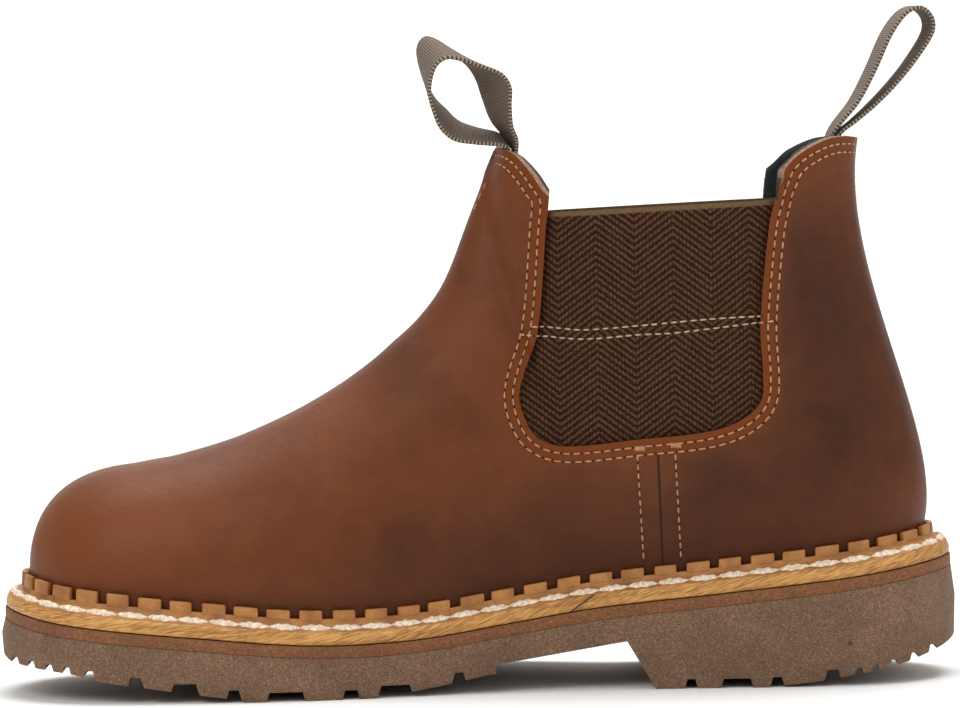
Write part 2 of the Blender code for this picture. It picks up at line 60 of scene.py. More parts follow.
def hexColour(code):
    parts = [int(code[i:i + 2], 16) / 255 for i in (1, 3, 5)]
    linear = [c / 12.92 if c <= 0.04045 else ((c + 0.055) / 1.055) ** 2.4 for c in parts]
    return (*linear, 1.0)


def addNode(tree, kind, inputs=None, **settings):
    # adds a node with its settings and links, and gives back its outputs
    node = tree.nodes.new("ShaderNode" + kind)
    for name, value in settings.items():
        setattr(node, name, value)
    for name, value in (inputs or {}).items():
        if isinstance(value, bpy.types.NodeSocket):
            tree.links.new(value, node.inputs[name])
        else:
            node.inputs[name].default_value = value
    return node.outputs


def newMaterial(name, **sockets):
    material = bpy.data.materials.new(name)
    material.use_nodes = True
    tree = material.node_tree
    shader = tree.nodes["Principled BSDF"]
    for socket, value in sockets.items():
        shader.inputs[socket.replace("_", " ")].default_value = value
    return material, tree, shader


def curveThrough(points, steps, closed=False):
    points = np.asarray(points, float)
    count = len(points)
    if closed:
        padded = np.concatenate([points[-1:], points, points[:2]])
        spans = count
    else:
        padded = np.concatenate([[2 * points[0] - points[1]], points, [2 * points[-1] - points[-2]]])
        spans = count - 1
    out = []
    for i in range(spans):
        a, b, c, d = padded[i:i + 4]
        for step in range(steps):
            t = step / steps
            out.append(0.5 * (2 * b + (c - a) * t + (2 * a - 5 * b + 4 * c - d) * t ** 2
                              + (3 * b - 3 * c + d - a) * t ** 3))
    if not closed:
        out.append(points[-1])
    return np.array(out)


def readAt(places, known, values):
    # values' columns read at the places, between the known ones
    return np.column_stack([np.interp(places, known, values[:, k]) for k in range(values.shape[1])])


def unitGrid(columns, rows):
    # a flat sheet from 0 to 1 both ways, which each piece then bends into its shape
    bm = bmesh.new()
    bmesh.ops.create_grid(bm, x_segments=columns, y_segments=rows, size=0.5)
    bmesh.ops.translate(bm, verts=bm.verts, vec=(0.5, 0.5, 0.0))
    return bm


def bend(bm, place):
    flat = np.array([v.co[:] for v in bm.verts])
    for vert, spot in zip(bm.verts, place(flat)):
        vert.co = spot


def addTo(bm, other):
    mesh = bpy.data.meshes.new("added")
    other.to_mesh(mesh)
    other.free()
    bm.from_mesh(mesh)
    bpy.data.meshes.remove(mesh)


def smoothUpTo(mesh, degrees):
    mesh.shade_smooth()
    mesh.set_sharp_from_angle(angle=math.radians(degrees))


def addPiece(name, bm, materials, nodes=(), smoothAngle=40, merge=0.02 * mm, turn=True):
    if merge:
        bmesh.ops.remove_doubles(bm, verts=bm.verts, dist=merge)
    if turn:
        bmesh.ops.recalc_face_normals(bm, faces=bm.faces)
    mesh = bpy.data.meshes.new(name)
    bm.to_mesh(mesh)
    bm.free()
    for material in materials:
        mesh.materials.append(material)
    smoothUpTo(mesh, smoothAngle)
    piece = bpy.data.objects.new(name, mesh)
    bpy.context.scene.collection.objects.link(piece)
    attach(piece, "root")
    if nodes:
        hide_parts(*nodes)
    return piece


def applyModifiers(piece):
    depsgraph = bpy.context.evaluated_depsgraph_get()
    mesh = bpy.data.meshes.new_from_object(piece.evaluated_get(depsgraph))
    piece.modifiers.clear()
    piece.data = mesh


def cutWith(piece, cutter, operation="DIFFERENCE", solver="EXACT"):
    modifier = piece.modifiers.new(cutter.name, "BOOLEAN")
    modifier.operation = operation
    modifier.object = cutter
    modifier.solver = solver
    applyModifiers(piece)
    bpy.data.objects.remove(cutter)


def makeCutter(name, bm, material=None):
    mesh = bpy.data.meshes.new(name)
    bm.to_mesh(mesh)
    bm.free()
    if material:
        mesh.materials.append(material)
    cutter = bpy.data.objects.new(name, mesh)
    cutter.hide_render = True
    bpy.context.scene.collection.objects.link(cutter)
    return cutter


def straightCutter(name, outline, lowY=-halfReach, highY=halfReach, material=None):
    # an outline in X and Z run straight across the boot
    bm = bmesh.new()
    verts = [bm.verts.new((x, lowY, z)) for x, z in outline]
    face = bm.faces.new(verts)
    far = bmesh.ops.extrude_face_region(bm, geom=[face])["geom"]
    farVerts = [v for v in far if isinstance(v, bmesh.types.BMVert)]
    bmesh.ops.translate(bm, verts=farVerts, vec=(0, highY - lowY, 0))
    bmesh.ops.recalc_face_normals(bm, faces=bm.faces)
    return makeCutter(name, bm, material)


# Camera, a long lens near the floor, a little above the ankle

camera = {
    "place": (2 * mm, -1354.5 * mm, 158.3 * mm),
    "lookDown": 2.5,        # degrees
    "roll": -1.15,
    "lens": 166.5,
}


def makeCamera():
    data = bpy.data.cameras.new("camera")
    data.lens = camera["lens"]
    data.sensor_width = 36.0
    data.clip_start = 0.01
    shot = bpy.data.objects.new("camera", data)
    tilt = Matrix.Rotation(math.radians(90 - camera["lookDown"]), 4, "X")
    roll = Matrix.Rotation(math.radians(camera["roll"]), 4, "Z")
    shot.matrix_world = Matrix.Translation(camera["place"]) @ tilt @ roll
    bpy.context.scene.collection.objects.link(shot)
    bpy.context.scene.camera = shot


makeCamera()
print("camera placed")


# Sole and last: the sizes that every piece follows, in metres

sole = {
    "toe": soleLow.x,
    "length": soleHigh.x - soleLow.x,
    "ballWidth": 106 * mm,
    "foreEdge": 20.3 * mm,      # floor to the top of the welt's edge under the ball
    "toeSpring": 12.5 * mm,
    "heelLift": 21 * mm,
    "heelRoll": 15 * mm,
    "archFront": 8.5 * mm,
    "archHeight": 14.4 * mm,
    "midsole": 3.6 * mm,
    "gap": 0.3 * mm,
}

# share of the length from the toe, reach to each side as a share of the ball width
plan = (
    (0.000, 0.010, -0.010), (0.012, 0.172, 0.150), (0.048, 0.312, 0.292), (0.100, 0.398, 0.383),
    (0.162, 0.430, 0.434), (0.225, 0.441, 0.488), (0.290, 0.443, 0.530), (0.370, 0.418, 0.552),
    (0.450, 0.375, 0.537), (0.540, 0.334, 0.480), (0.630, 0.316, 0.418), (0.720, 0.320, 0.374),
    (0.800, 0.332, 0.355), (0.870, 0.336, 0.347), (0.925, 0.307, 0.314), (0.968, 0.224, 0.228),
    (0.992, 0.119, 0.119), (1.000, 0.000, 0.000),
)

# top of the welt's edge over its lowest height: along, size, share of it
edgeLine = (
    (0.000, "toeSpring", 0.86), (0.056, "toeSpring", 0.62), (0.113, "toeSpring", 0.46),
    (0.214, "toeSpring", 0.24), (0.331, "toeSpring", 0.01), (0.432, "heelLift", 0.03),
    (0.526, "heelLift", 0.205), (0.609, "heelLift", 0.380), (0.666, "heelLift", 0.465),
    (0.748, "heelLift", 0.570), (0.872, "heelLift", 0.752), (0.962, "heelLift", 0.925),
    (1.000, "heelLift", 1.000),
)

# under side of the lugs over the floor
treadLine = (
    (0.000, "toeSpring", 1.00), (0.014, "toeSpring", 0.85), (0.084, "toeSpring", 0.69),
    (0.121, "toeSpring", 0.50), (0.170, "toeSpring", 0.34), (0.228, "toeSpring", 0.15),
    (0.271, "toeSpring", 0.00), (0.386, "toeSpring", 0.00), (0.434, "archFront", 0.19),
    (0.469, "archFront", 0.40), (0.520, "archFront", 0.73), (0.620, "archFront", 0.00),
    (0.797, "heelRoll", 0.00), (0.852, "heelRoll", 0.12), (0.878, "heelRoll", 0.20),
    (0.914, "heelRoll", 0.31), (0.936, "heelRoll", 0.40), (0.959, "heelRoll", 0.53),
    (0.982, "heelRoll", 0.67), (0.996, "heelRoll", 0.79), (1.000, "heelRoll", 0.85),
)

outlineSteps = 12
axisY = sole["ballWidth"] * (max(row[1] for row in plan) - max(row[2] for row in plan)) / 2


def soleX(along):
    return sole["toe"] + np.asarray(along) * sole["length"]


def makeOutline():
    medial = [(soleX(a), axisY - sole["ballWidth"] * m) for a, m, _ in plan]
    lateral = [(soleX(a), axisY + sole["ballWidth"] * w) for a, _, w in plan[1:-1]]
    points = curveThrough(medial + lateral[::-1], outlineSteps, closed=True)
    tangent = np.roll(points, -1, axis=0) - np.roll(points, 1, axis=0)
    tangent /= np.linalg.norm(tangent, axis=1)[:, None]
    return points, np.column_stack([-tangent[:, 1], tangent[:, 0]])


outline, inward = makeOutline()
half = (len(plan) - 1) * outlineSteps
edgeTable = curveThrough([(a, sole[size] * share) for a, size, share in edgeLine], outlineSteps)
treadTable = np.array([(a, sole[size] * share) for a, size, share in treadLine])


def edgeHeight(x):
    share = (np.asarray(x) - sole["toe"]) / sole["length"]
    return sole["foreEdge"] + np.interp(share, edgeTable[:, 0], edgeTable[:, 1])


def treadHeight(x):
    share = (np.asarray(x) - sole["toe"]) / sole["length"]
    return np.interp(share, treadTable[:, 0], treadTable[:, 1])


def midsoleTop(x):
    return edgeHeight(x) - welt["edge"] - sole["gap"]


def midsoleBottom(x):
    return midsoleTop(x) - sole["midsole"]


def outsoleTop(x):
    return midsoleBottom(x)


def insideFloor(x):
    return midsoleTop(x) + sole["gap"]


# Welt: sizes in metres, rises over the top of its edge

welt = {
    "edge": 4.2 * mm,
    "edgeInset": 1.5 * mm,
    "edgeDraft": 0.7 * mm,
    "shelf": 4.0 * mm,
    "shelfRise": 1.8 * mm,
    "ribThick": 2.0 * mm,
    "ribFloor": 1.3 * mm,
    "ribHeight": 3.8 * mm,
    "ribLean": 0.3 * mm,
    "ribPitch": 9.7 * mm,
    "ribBlock": 0.72,
    "toeLift": 1.5 * mm,        # how much higher the blocks stand round the toe
    "stitchPitch": 9.0 * mm,
    "stitchWide": 2.3 * mm,
    "stitchHigh": 2.0 * mm,
    "stitchRise": 0.6 * mm,
    "scarfX": 27 * mm,          # where the welt's two ends meet, on the medial side
    "scarfLong": 8 * mm,
}
ribInset = welt["edgeInset"] + welt["edgeDraft"] + welt["shelf"]
featherInset = ribInset + welt["ribLean"] + welt["ribThick"] + sole["gap"]
ribTop = welt["shelfRise"] + welt["ribHeight"]

wrapSteps = np.arange(len(outline) + 1)
wrapPoints = np.concatenate([outline, outline[:1]])
wrapInward = np.concatenate([inward, inward[:1]])
ribLine = wrapPoints + wrapInward * ribInset
travelled = np.concatenate([[0.0], np.cumsum(np.linalg.norm(np.diff(ribLine, axis=0), axis=1))])
ribLength = travelled[-1]
welt["scarfFrom"] = float(np.interp(welt["scarfX"], ribLine[:half, 0], travelled[:half]))


def roundTheSole(flat):
    # flat holds metres run along the rib, inset from the outline, and rise over the welt's edge
    place = np.interp(flat[:, 0] % ribLength, travelled, wrapSteps)
    point = readAt(place, wrapSteps, wrapPoints)
    normal = readAt(place, wrapSteps, wrapInward)
    normal /= np.linalg.norm(normal, axis=1)[:, None]
    spot = point + normal * flat[:, 1:2]
    return np.column_stack([spot, edgeHeight(spot[:, 0]) + flat[:, 2]])


# Rows of stitches: sizes in metres, places in millimetres of X and Z

threads = {
    "borderInsets": (2.1 * mm, 4.6 * mm),
    "pitch": 3.1 * mm,
    "seamPitch": 2.7 * mm,
    "gorePitch": 2.9 * mm,
    "long": 2.3 * mm,
    "wide": 0.62 * mm,
    "high": 0.42 * mm,
    "hole": 0.66 * mm,
    "seam": ((54.4, 69.5), (55.4, 36.0)),
    "seamWide": 0.5 * mm,
    "tacks": ((49.0, 71.6), (59.8, 72.4)),
    "tackWide": 2.6 * mm,
    "tackBars": 6,
    "ridgeReach": 4 * mm,
    "tabRow": ((-10, 150.5), (-10, 142.6)),
    "backRow": ((135, 150.9), (135, 142.0)),
    "seamRows": (((48.2, 70.0), (49.7, 37.6)), ((59.5, 70.1), (60.9, 37.4))),
    "goreRows": (
        ((17.2, 108.4), (27.0, 107.4), (34.4, 107.1), (49.6, 108.0), (70.6, 109.6), (88.2, 110.4)),
        ((13.6, 106.0), (27.3, 104.6), (36.2, 104.4), (49.5, 105.3), (61.7, 105.8), (89.9, 108.9)),
    ),
}


# Materials

def seamShadeLine(tree, place):
    # painted shade: a dark line where the front and back of the upper meet under the elastic, standing in for
    # the shade in the seam's groove
    (topX, topZ), (footX, footZ) = threads["seam"]
    axes = addNode(tree, "SeparateXYZ", {0: place})
    lean = (footX - topX) / (footZ - topZ)
    middle = addNode(tree, "Math", {0: axes["Z"], 1: lean, 2: topX * mm - topZ * mm * lean},
                     operation="MULTIPLY_ADD")[0]
    xOffset = addNode(tree, "Math", {0: axes["X"], 1: middle}, operation="SUBTRACT")[0]
    away = addNode(tree, "Math", {0: xOffset}, operation="ABSOLUTE")[0]
    line = addNode(tree, "MapRange", {0: away, 1: threads["seamWide"], 2: threads["seamWide"] * 0.4},
                   interpolation_type="SMOOTHSTEP")[0]
    zRange = addNode(tree, "MapRange", {0: axes["Z"], 1: (topZ + 0.6) * mm, 2: topZ * mm},
                     interpolation_type="SMOOTHSTEP")[0]
    return addNode(tree, "Math", {0: line, 1: zRange}, operation="MULTIPLY")[0]


def makeLeather():
    # oiled full-grain cattle hide, pulled over the last: waxy and satin, paler where it is stretched
    material, tree, shader = newMaterial("oiledPullUpLeather", IOR=1.45)
    shader.inputs["Specular IOR Level"].default_value = 0.2
    place = addNode(tree, "TexCoord")["Object"]
    # tone holds the listed tones and the painted shade down by the welt; warm holds the waxed cut edges and
    # the warmer painted shade down by the welt
    tone = addNode(tree, "Attribute", attribute_name="tone")["Fac"]
    warm = addNode(tree, "Attribute", attribute_name="warm")["Fac"]
    clouds = addNode(tree, "TexNoise",
                     {"Vector": place, "Scale": 1 / (38 * mm), "Detail": 5.0, "Roughness": 0.6})["Fac"]
    mottle = addNode(tree, "TexNoise",
                     {"Vector": place, "Scale": 1 / (7 * mm), "Detail": 6.0, "Roughness": 0.7})["Fac"]
    pores = addNode(tree, "TexVoronoi", {"Vector": place, "Scale": 1 / (0.9 * mm)},
                    feature="F1")["Distance"]
    wrinkles = addNode(tree, "TexNoise",
                       {"Vector": place, "Scale": 1 / (2.6 * mm), "Detail": 4.0, "Distortion": 0.8})["Fac"]
    cloudsRange = addNode(tree, "MapRange", {0: clouds, 1: 0.3, 2: 0.7}, interpolation_type="SMOOTHSTEP")[0]
    cloudsShare = addNode(tree, "Math", {0: cloudsRange, 1: 0.24}, operation="MULTIPLY")[0]
    mottleRange = addNode(tree, "MapRange", {0: mottle, 1: 0.25, 2: 0.75},
                          interpolation_type="SMOOTHSTEP")[0]
    mottleShare = addNode(tree, "Math", {0: mottleRange, 1: 0.12}, operation="MULTIPLY")[0]
    depth = addNode(tree, "Math", {0: cloudsShare, 1: mottleShare}, operation="ADD")[0]
    depth = addNode(tree, "Math", {0: depth, 1: tone}, operation="ADD")[0]
    depthRange = addNode(tree, "MapRange", {0: depth, 1: -0.18, 2: 1.07},
                         interpolation_type="SMOOTHSTEP")[0]
    colour = addNode(tree, "Mix", {0: depthRange, 6: hexColour("#764021"), 7: hexColour("#28140a")},
                     data_type="RGBA")[2]
    warmShare = addNode(tree, "Math", {0: warm, 1: 0.9}, operation="MULTIPLY")[0]
    colour = addNode(tree, "Mix", {0: warmShare, 6: colour, 7: hexColour("#6f3407")}, data_type="RGBA")[2]
    # painted shade of the side seam's groove, mixed into the hide's colour
    seamShadeShare = addNode(tree, "Math", {0: seamShadeLine(tree, place), 1: 0.85}, operation="MULTIPLY")[0]
    colour = addNode(tree, "Mix", {0: seamShadeShare, 6: colour, 7: hexColour("#160a05")}, data_type="RGBA")[2]
    poresRange = addNode(tree, "MapRange", {0: pores, 1: 0.0, 2: 0.5, 3: 1.0, 4: 0.0},
                         interpolation_type="SMOOTHSTEP")[0]
    poresShare = addNode(tree, "Math", {0: poresRange, 1: 0.16}, operation="MULTIPLY")[0]
    colour = addNode(tree, "Mix", {0: poresShare, 6: colour, 7: hexColour("#3a2015")}, data_type="RGBA")[2]
    tree.links.new(colour, shader.inputs["Base Color"])
    mottleShare = addNode(tree, "Math", {0: mottle, 1: 0.16}, operation="MULTIPLY")[0]
    rough = addNode(tree, "Math", {0: mottleShare, 1: 0.4}, operation="ADD")[0]
    toneShare = addNode(tree, "Math", {0: tone, 1: 0.05}, operation="MULTIPLY")[0]
    roughSum = addNode(tree, "Math", {0: rough, 1: toneShare}, operation="ADD")[0]
    tree.links.new(roughSum, shader.inputs["Roughness"])
    poresShare = addNode(tree, "Math", {0: pores, 1: 0.5}, operation="MULTIPLY")[0]
    grain = addNode(tree, "Math", {0: poresShare, 1: wrinkles}, operation="ADD")[0]
    bump = addNode(tree, "Bump", {"Height": grain, "Strength": 0.22, "Distance": 0.35 * mm})
    soft = addNode(tree, "Bump",
                   {"Height": mottle, "Strength": 0.25, "Distance": 0.8 * mm, "Normal": bump["Normal"]})
    tree.links.new(soft["Normal"], shader.inputs["Normal"])
    return material


def makeCutEdge(name, pale, deep):
    # raw cut edge of the hide, a fibrous felt without any grain or wax
    material, tree, shader = newMaterial(name, Roughness=0.85)
    place = addNode(tree, "TexCoord")["Object"]
    fibres = addNode(tree, "TexNoise", {"Vector": place, "Scale": 1 / (0.7 * mm), "Detail": 4.0})["Fac"]
    fibresRange = addNode(tree, "MapRange", {0: fibres, 1: 0.3, 2: 0.7}, interpolation_type="SMOOTHSTEP")[0]
    fibresMixed = addNode(tree, "Mix", {0: fibresRange, 6: hexColour(deep), 7: hexColour(pale)},
                          data_type="RGBA")[2]
    tree.links.new(fibresMixed, shader.inputs["Base Color"])
    bump = addNode(tree, "Bump", {"Height": fibres, "Strength": 0.5, "Distance": 0.3 * mm})
    tree.links.new(bump["Normal"], shader.inputs["Normal"])
    return material


def makeElastic(topHeight, topSlope, topX):
    # woven rubber-cored elastic with a herringbone of taupe yarn on dark brown, matt and fibrous
    material, tree, shader = newMaterial("herringboneElastic", Roughness=0.95)
    shader.inputs["Specular IOR Level"].default_value = 0.12
    place = addNode(tree, "TexCoord")["Object"]
    axes = addNode(tree, "SeparateXYZ", {0: place})
    shifted = addNode(tree, "Math", {0: axes["X"], 1: gore["peak"]}, operation="SUBTRACT")[0]
    zigzag = addNode(tree, "Math", {0: shifted, 1: gore["column"]}, operation="PINGPONG")[0]
    zigzagShare = addNode(tree, "Math", {0: zigzag, 1: gore["slope"]}, operation="MULTIPLY")[0]
    rows = addNode(tree, "Math", {0: axes["Z"], 1: zigzagShare}, operation="ADD")[0]
    across = addNode(tree, "Math", {0: rows, 1: gore["pitch"]}, operation="DIVIDE")[0]
    wave = addNode(tree, "Math", {0: across, 1: 0.5}, operation="PINGPONG")[0]
    yarn = addNode(tree, "TexNoise", {"Vector": place, "Scale": 1 / (0.55 * mm), "Detail": 3.0})["Fac"]
    yarnOffset = addNode(tree, "Math", {0: yarn, 1: 0.5}, operation="SUBTRACT")[0]
    yarnShare = addNode(tree, "Math", {0: yarnOffset, 1: 0.95}, operation="MULTIPLY")[0]
    broken = addNode(tree, "Math", {0: wave, 1: yarnShare}, operation="ADD")[0]
    xSteps = addNode(tree, "Math", {0: axes["X"], 1: gore["dash"]}, operation="DIVIDE")[0]
    dash = addNode(tree, "Math", {0: xSteps, 1: 0.5}, operation="PINGPONG")[0]
    brokenRange = addNode(tree, "MapRange", {0: broken, 1: 0.14, 2: 0.44},
                          interpolation_type="SMOOTHSTEP")[0]
    dashRange = addNode(tree, "MapRange", {0: dash, 1: 0.02, 2: 0.2, 3: 0.3, 4: 1.0},
                        interpolation_type="SMOOTHSTEP")[0]
    line = addNode(tree, "Math", {0: brokenRange, 1: dashRange}, operation="MULTIPLY")[0]
    xSteps = addNode(tree, "Math", {0: axes["X"], 1: gore["cord"]}, operation="DIVIDE")[0]
    cords = addNode(tree, "Math", {0: xSteps, 1: 0.5}, operation="PINGPONG")[0]
    colour = addNode(tree, "Mix", {0: line, 6: hexColour("#2b160b"), 7: hexColour("#5d422f")},
                     data_type="RGBA")[2]
    cordsRange = addNode(tree, "MapRange", {0: cords, 1: 0.1, 2: 0.0}, interpolation_type="SMOOTHSTEP")[0]
    cordsShare = addNode(tree, "Math", {0: cordsRange, 1: 0.4}, operation="MULTIPLY")[0]
    colour = addNode(tree, "Mix", {0: cordsShare, 6: colour, 7: hexColour("#2b160b")}, data_type="RGBA")[2]
    xOffset = addNode(tree, "Math", {0: axes["X"], 1: topX}, operation="SUBTRACT")[0]
    lean = addNode(tree, "Math", {0: xOffset, 1: topSlope}, operation="MULTIPLY")[0]
    leanSum = addNode(tree, "Math", {0: lean, 1: topHeight}, operation="ADD")[0]
    below = addNode(tree, "Math", {0: leanSum, 1: axes["Z"]}, operation="SUBTRACT")[0]
    rim = addNode(tree, "MapRange", {0: below, 1: gore["rim"], 2: gore["rim"] * 0.6},
                  interpolation_type="SMOOTHSTEP")[0]
    rimShare = addNode(tree, "Math", {0: rim, 1: 0.6}, operation="MULTIPLY")[0]
    colour = addNode(tree, "Mix", {0: rimShare, 6: colour, 7: hexColour("#7d6448")}, data_type="RGBA")[2]
    tree.links.new(colour, shader.inputs["Base Color"])
    lineShare = addNode(tree, "Math", {0: line, 1: 0.6}, operation="MULTIPLY")[0]
    cordsShare = addNode(tree, "Math", {0: cords, 1: 0.8}, operation="MULTIPLY")[0]
    height = addNode(tree, "Math", {0: lineShare, 1: cordsShare}, operation="ADD")[0]
    yarnShare = addNode(tree, "Math", {0: yarn, 1: 0.4}, operation="MULTIPLY")[0]
    heightSum = addNode(tree, "Math", {0: height, 1: yarnShare}, operation="ADD")[0]
    bump = addNode(tree, "Bump", {"Height": heightSum, "Strength": 0.7, "Distance": 0.35 * mm})
    tree.links.new(bump["Normal"], shader.inputs["Normal"])
    return material


def makeWebbing():
    # narrow polyester tape woven in crosswise ribs, with pale selvedges
    material, tree, shader = newMaterial("ribbedTape", Roughness=0.88)
    run = addNode(tree, "UVMap", uv_map="tape")["UV"]
    axes = addNode(tree, "SeparateXYZ", {0: run})
    xSteps = addNode(tree, "Math", {0: axes["X"], 1: loops["rib"]}, operation="DIVIDE")[0]
    rib = addNode(tree, "Math", {0: xSteps, 1: 0.5}, operation="PINGPONG")[0]
    ySteps = addNode(tree, "Math", {0: axes["Y"], 1: loops["warp"]}, operation="DIVIDE")[0]
    warp = addNode(tree, "Math", {0: ySteps, 1: 0.5}, operation="PINGPONG")[0]
    yOffset = addNode(tree, "Math", {0: axes["Y"], 1: loops["wide"] / 2}, operation="SUBTRACT")[0]
    edge = addNode(tree, "Math", {0: yOffset}, operation="ABSOLUTE")[0]
    selvedge = addNode(tree, "MapRange",
                       {0: edge, 1: loops["wide"] / 2 - 0.9 * mm, 2: loops["wide"] / 2 - 0.7 * mm},
                       interpolation_type="SMOOTHSTEP")[0]
    lint = addNode(tree, "TexNoise", {"Vector": run, "Scale": 1 / (1.2 * mm), "Detail": 4.0})["Fac"]
    ribRange = addNode(tree, "MapRange", {0: rib, 1: 0.05, 2: 0.35}, interpolation_type="SMOOTHSTEP")[0]
    colour = addNode(tree, "Mix", {0: ribRange, 6: hexColour("#40342b"), 7: hexColour("#796759")},
                     data_type="RGBA")[2]
    lintRange = addNode(tree, "MapRange", {0: lint, 1: 0.3, 2: 0.7}, interpolation_type="SMOOTHSTEP")[0]
    lintShare = addNode(tree, "Math", {0: lintRange, 1: 0.25}, operation="MULTIPLY")[0]
    colour = addNode(tree, "Mix", {0: lintShare, 6: colour, 7: hexColour("#8f7d6d")}, data_type="RGBA")[2]
    xSteps = addNode(tree, "Math", {0: axes["X"], 1: loops["dot"]}, operation="DIVIDE")[0]
    dots = addNode(tree, "Math", {0: xSteps, 1: 0.5}, operation="PINGPONG")[0]
    dotsRange = addNode(tree, "MapRange", {0: dots, 1: 0.15, 2: 0.35}, interpolation_type="SMOOTHSTEP")[0]
    dotted = addNode(tree, "Mix", {0: dotsRange, 6: hexColour("#2e2620"), 7: hexColour("#a3907a")},
                     data_type="RGBA")[2]
    selvedgeShare = addNode(tree, "Math", {0: selvedge, 1: 0.85}, operation="MULTIPLY")[0]
    colour = addNode(tree, "Mix", {0: selvedgeShare, 6: colour, 7: dotted}, data_type="RGBA")[2]
    tree.links.new(colour, shader.inputs["Base Color"])
    warpShare = addNode(tree, "Math", {0: warp, 1: 0.4}, operation="MULTIPLY")[0]
    height = addNode(tree, "Math", {0: rib, 1: warpShare}, operation="ADD")[0]
    bump = addNode(tree, "Bump", {"Height": height, "Strength": 0.8, "Distance": 0.4 * mm})
    tree.links.new(bump["Normal"], shader.inputs["Normal"])
    return material


def makeWeltLeather():
    # vegetable-tanned strap leather, waxed: smooth and caramel-tan, darker in its pores and cuts
    material, tree, shader = newMaterial("waxedTanLeather", Roughness=0.5)
    place = addNode(tree, "TexCoord")["Object"]
    mottle = addNode(tree, "TexNoise", {"Vector": place, "Scale": 1 / (6 * mm), "Detail": 5.0})["Fac"]
    fine = addNode(tree, "TexNoise", {"Vector": place, "Scale": 1 / (0.8 * mm), "Detail": 3.0})["Fac"]
    mottleRange = addNode(tree, "MapRange", {0: mottle, 1: 0.3, 2: 0.7}, interpolation_type="SMOOTHSTEP")[0]
    colour = addNode(tree, "Mix", {0: mottleRange, 6: hexColour("#b47a3a"), 7: hexColour("#935c28")},
                     data_type="RGBA")[2]
    fineRange = addNode(tree, "MapRange", {0: fine, 1: 0.55, 2: 0.7}, interpolation_type="SMOOTHSTEP")[0]
    fineShare = addNode(tree, "Math", {0: fineRange, 1: 0.35}, operation="MULTIPLY")[0]
    colour = addNode(tree, "Mix", {0: fineShare, 6: colour, 7: hexColour("#6f4420")}, data_type="RGBA")[2]
    tree.links.new(colour, shader.inputs["Base Color"])
    bump = addNode(tree, "Bump", {"Height": fine, "Strength": 0.3, "Distance": 0.3 * mm})
    tree.links.new(bump["Normal"], shader.inputs["Normal"])
    return material


def scarfLine(tree, run):
    # slanted lip where the two ends of the welt overlap, at the waist
    axes = addNode(tree, "SeparateXYZ", {0: run})
    past = addNode(tree, "Math", {0: axes["X"], 1: welt["scarfFrom"]}, operation="SUBTRACT")[0]
    slant = addNode(tree, "Math", {0: past, 1: welt["edge"] / welt["scarfLong"], 2: -welt["edge"]},
                    operation="MULTIPLY_ADD")[0]
    yOffset = addNode(tree, "Math", {0: axes["Y"], 1: slant}, operation="SUBTRACT")[0]
    away = addNode(tree, "Math", {0: yOffset}, operation="ABSOLUTE")[0]
    line = addNode(tree, "MapRange", {0: away, 1: 0.5 * mm, 2: 0.15 * mm},
                   interpolation_type="SMOOTHSTEP")[0]
    pastOffset = addNode(tree, "Math", {0: past, 1: welt["scarfLong"] / 2}, operation="SUBTRACT")[0]
    pastSize = addNode(tree, "Math", {0: pastOffset}, operation="ABSOLUTE")[0]
    near = addNode(tree, "MapRange", {0: pastSize, 1: welt["scarfLong"] * 0.6, 2: welt["scarfLong"] * 0.5},
                   interpolation_type="SMOOTHSTEP")[0]
    return addNode(tree, "Math", {0: line, 1: near}, operation="MULTIPLY")[0]


def makeGrainEdge():
    # stacked edge, sanded and waxed: short streaks of light and dark along it, like sawn wood
    material, tree, shader = newMaterial("sandedStackEdge", Roughness=0.5)
    run = addNode(tree, "UVMap", uv_map="run")["UV"]
    turned = addNode(tree, "Mapping", {"Vector": run, "Rotation": (0, 0, math.radians(-15))})
    streaks = addNode(tree, "Mapping",
                      {"Vector": turned["Vector"], "Scale": (1 / (5 * mm), 1 / (0.45 * mm), 1)})
    grain = addNode(tree, "TexNoise",
                    {"Vector": streaks["Vector"], "Scale": 1.0, "Detail": 6.0, "Roughness": 0.65,
                     "Distortion": 0.4})["Fac"]
    longer = addNode(tree, "Mapping", {"Vector": run, "Scale": (1 / (40 * mm), 1 / (3 * mm), 1)})
    bands = addNode(tree, "TexNoise", {"Vector": longer["Vector"], "Scale": 1.0, "Detail": 3.0})["Fac"]
    grainShare = addNode(tree, "Math", {0: grain, 1: 0.75}, operation="MULTIPLY")[0]
    bandsShare = addNode(tree, "Math", {0: bands, 1: 0.25}, operation="MULTIPLY")[0]
    mixed = addNode(tree, "Math", {0: grainShare, 1: bandsShare}, operation="ADD")[0]
    mixedRange = addNode(tree, "MapRange", {0: mixed, 1: 0.38, 2: 0.62}, interpolation_type="SMOOTHSTEP")[0]
    colour = addNode(tree, "Mix", {0: mixedRange, 6: hexColour("#8a541e"), 7: hexColour("#d29c51")},
                     data_type="RGBA")[2]
    colour = addNode(tree, "Mix", {0: scarfLine(tree, run), 6: colour, 7: hexColour("#3a1d0e")},
                     data_type="RGBA")[2]
    tree.links.new(colour, shader.inputs["Base Color"])
    bump = addNode(tree, "Bump", {"Height": grain, "Strength": 0.35, "Distance": 0.3 * mm})
    tree.links.new(bump["Normal"], shader.inputs["Normal"])
    return material


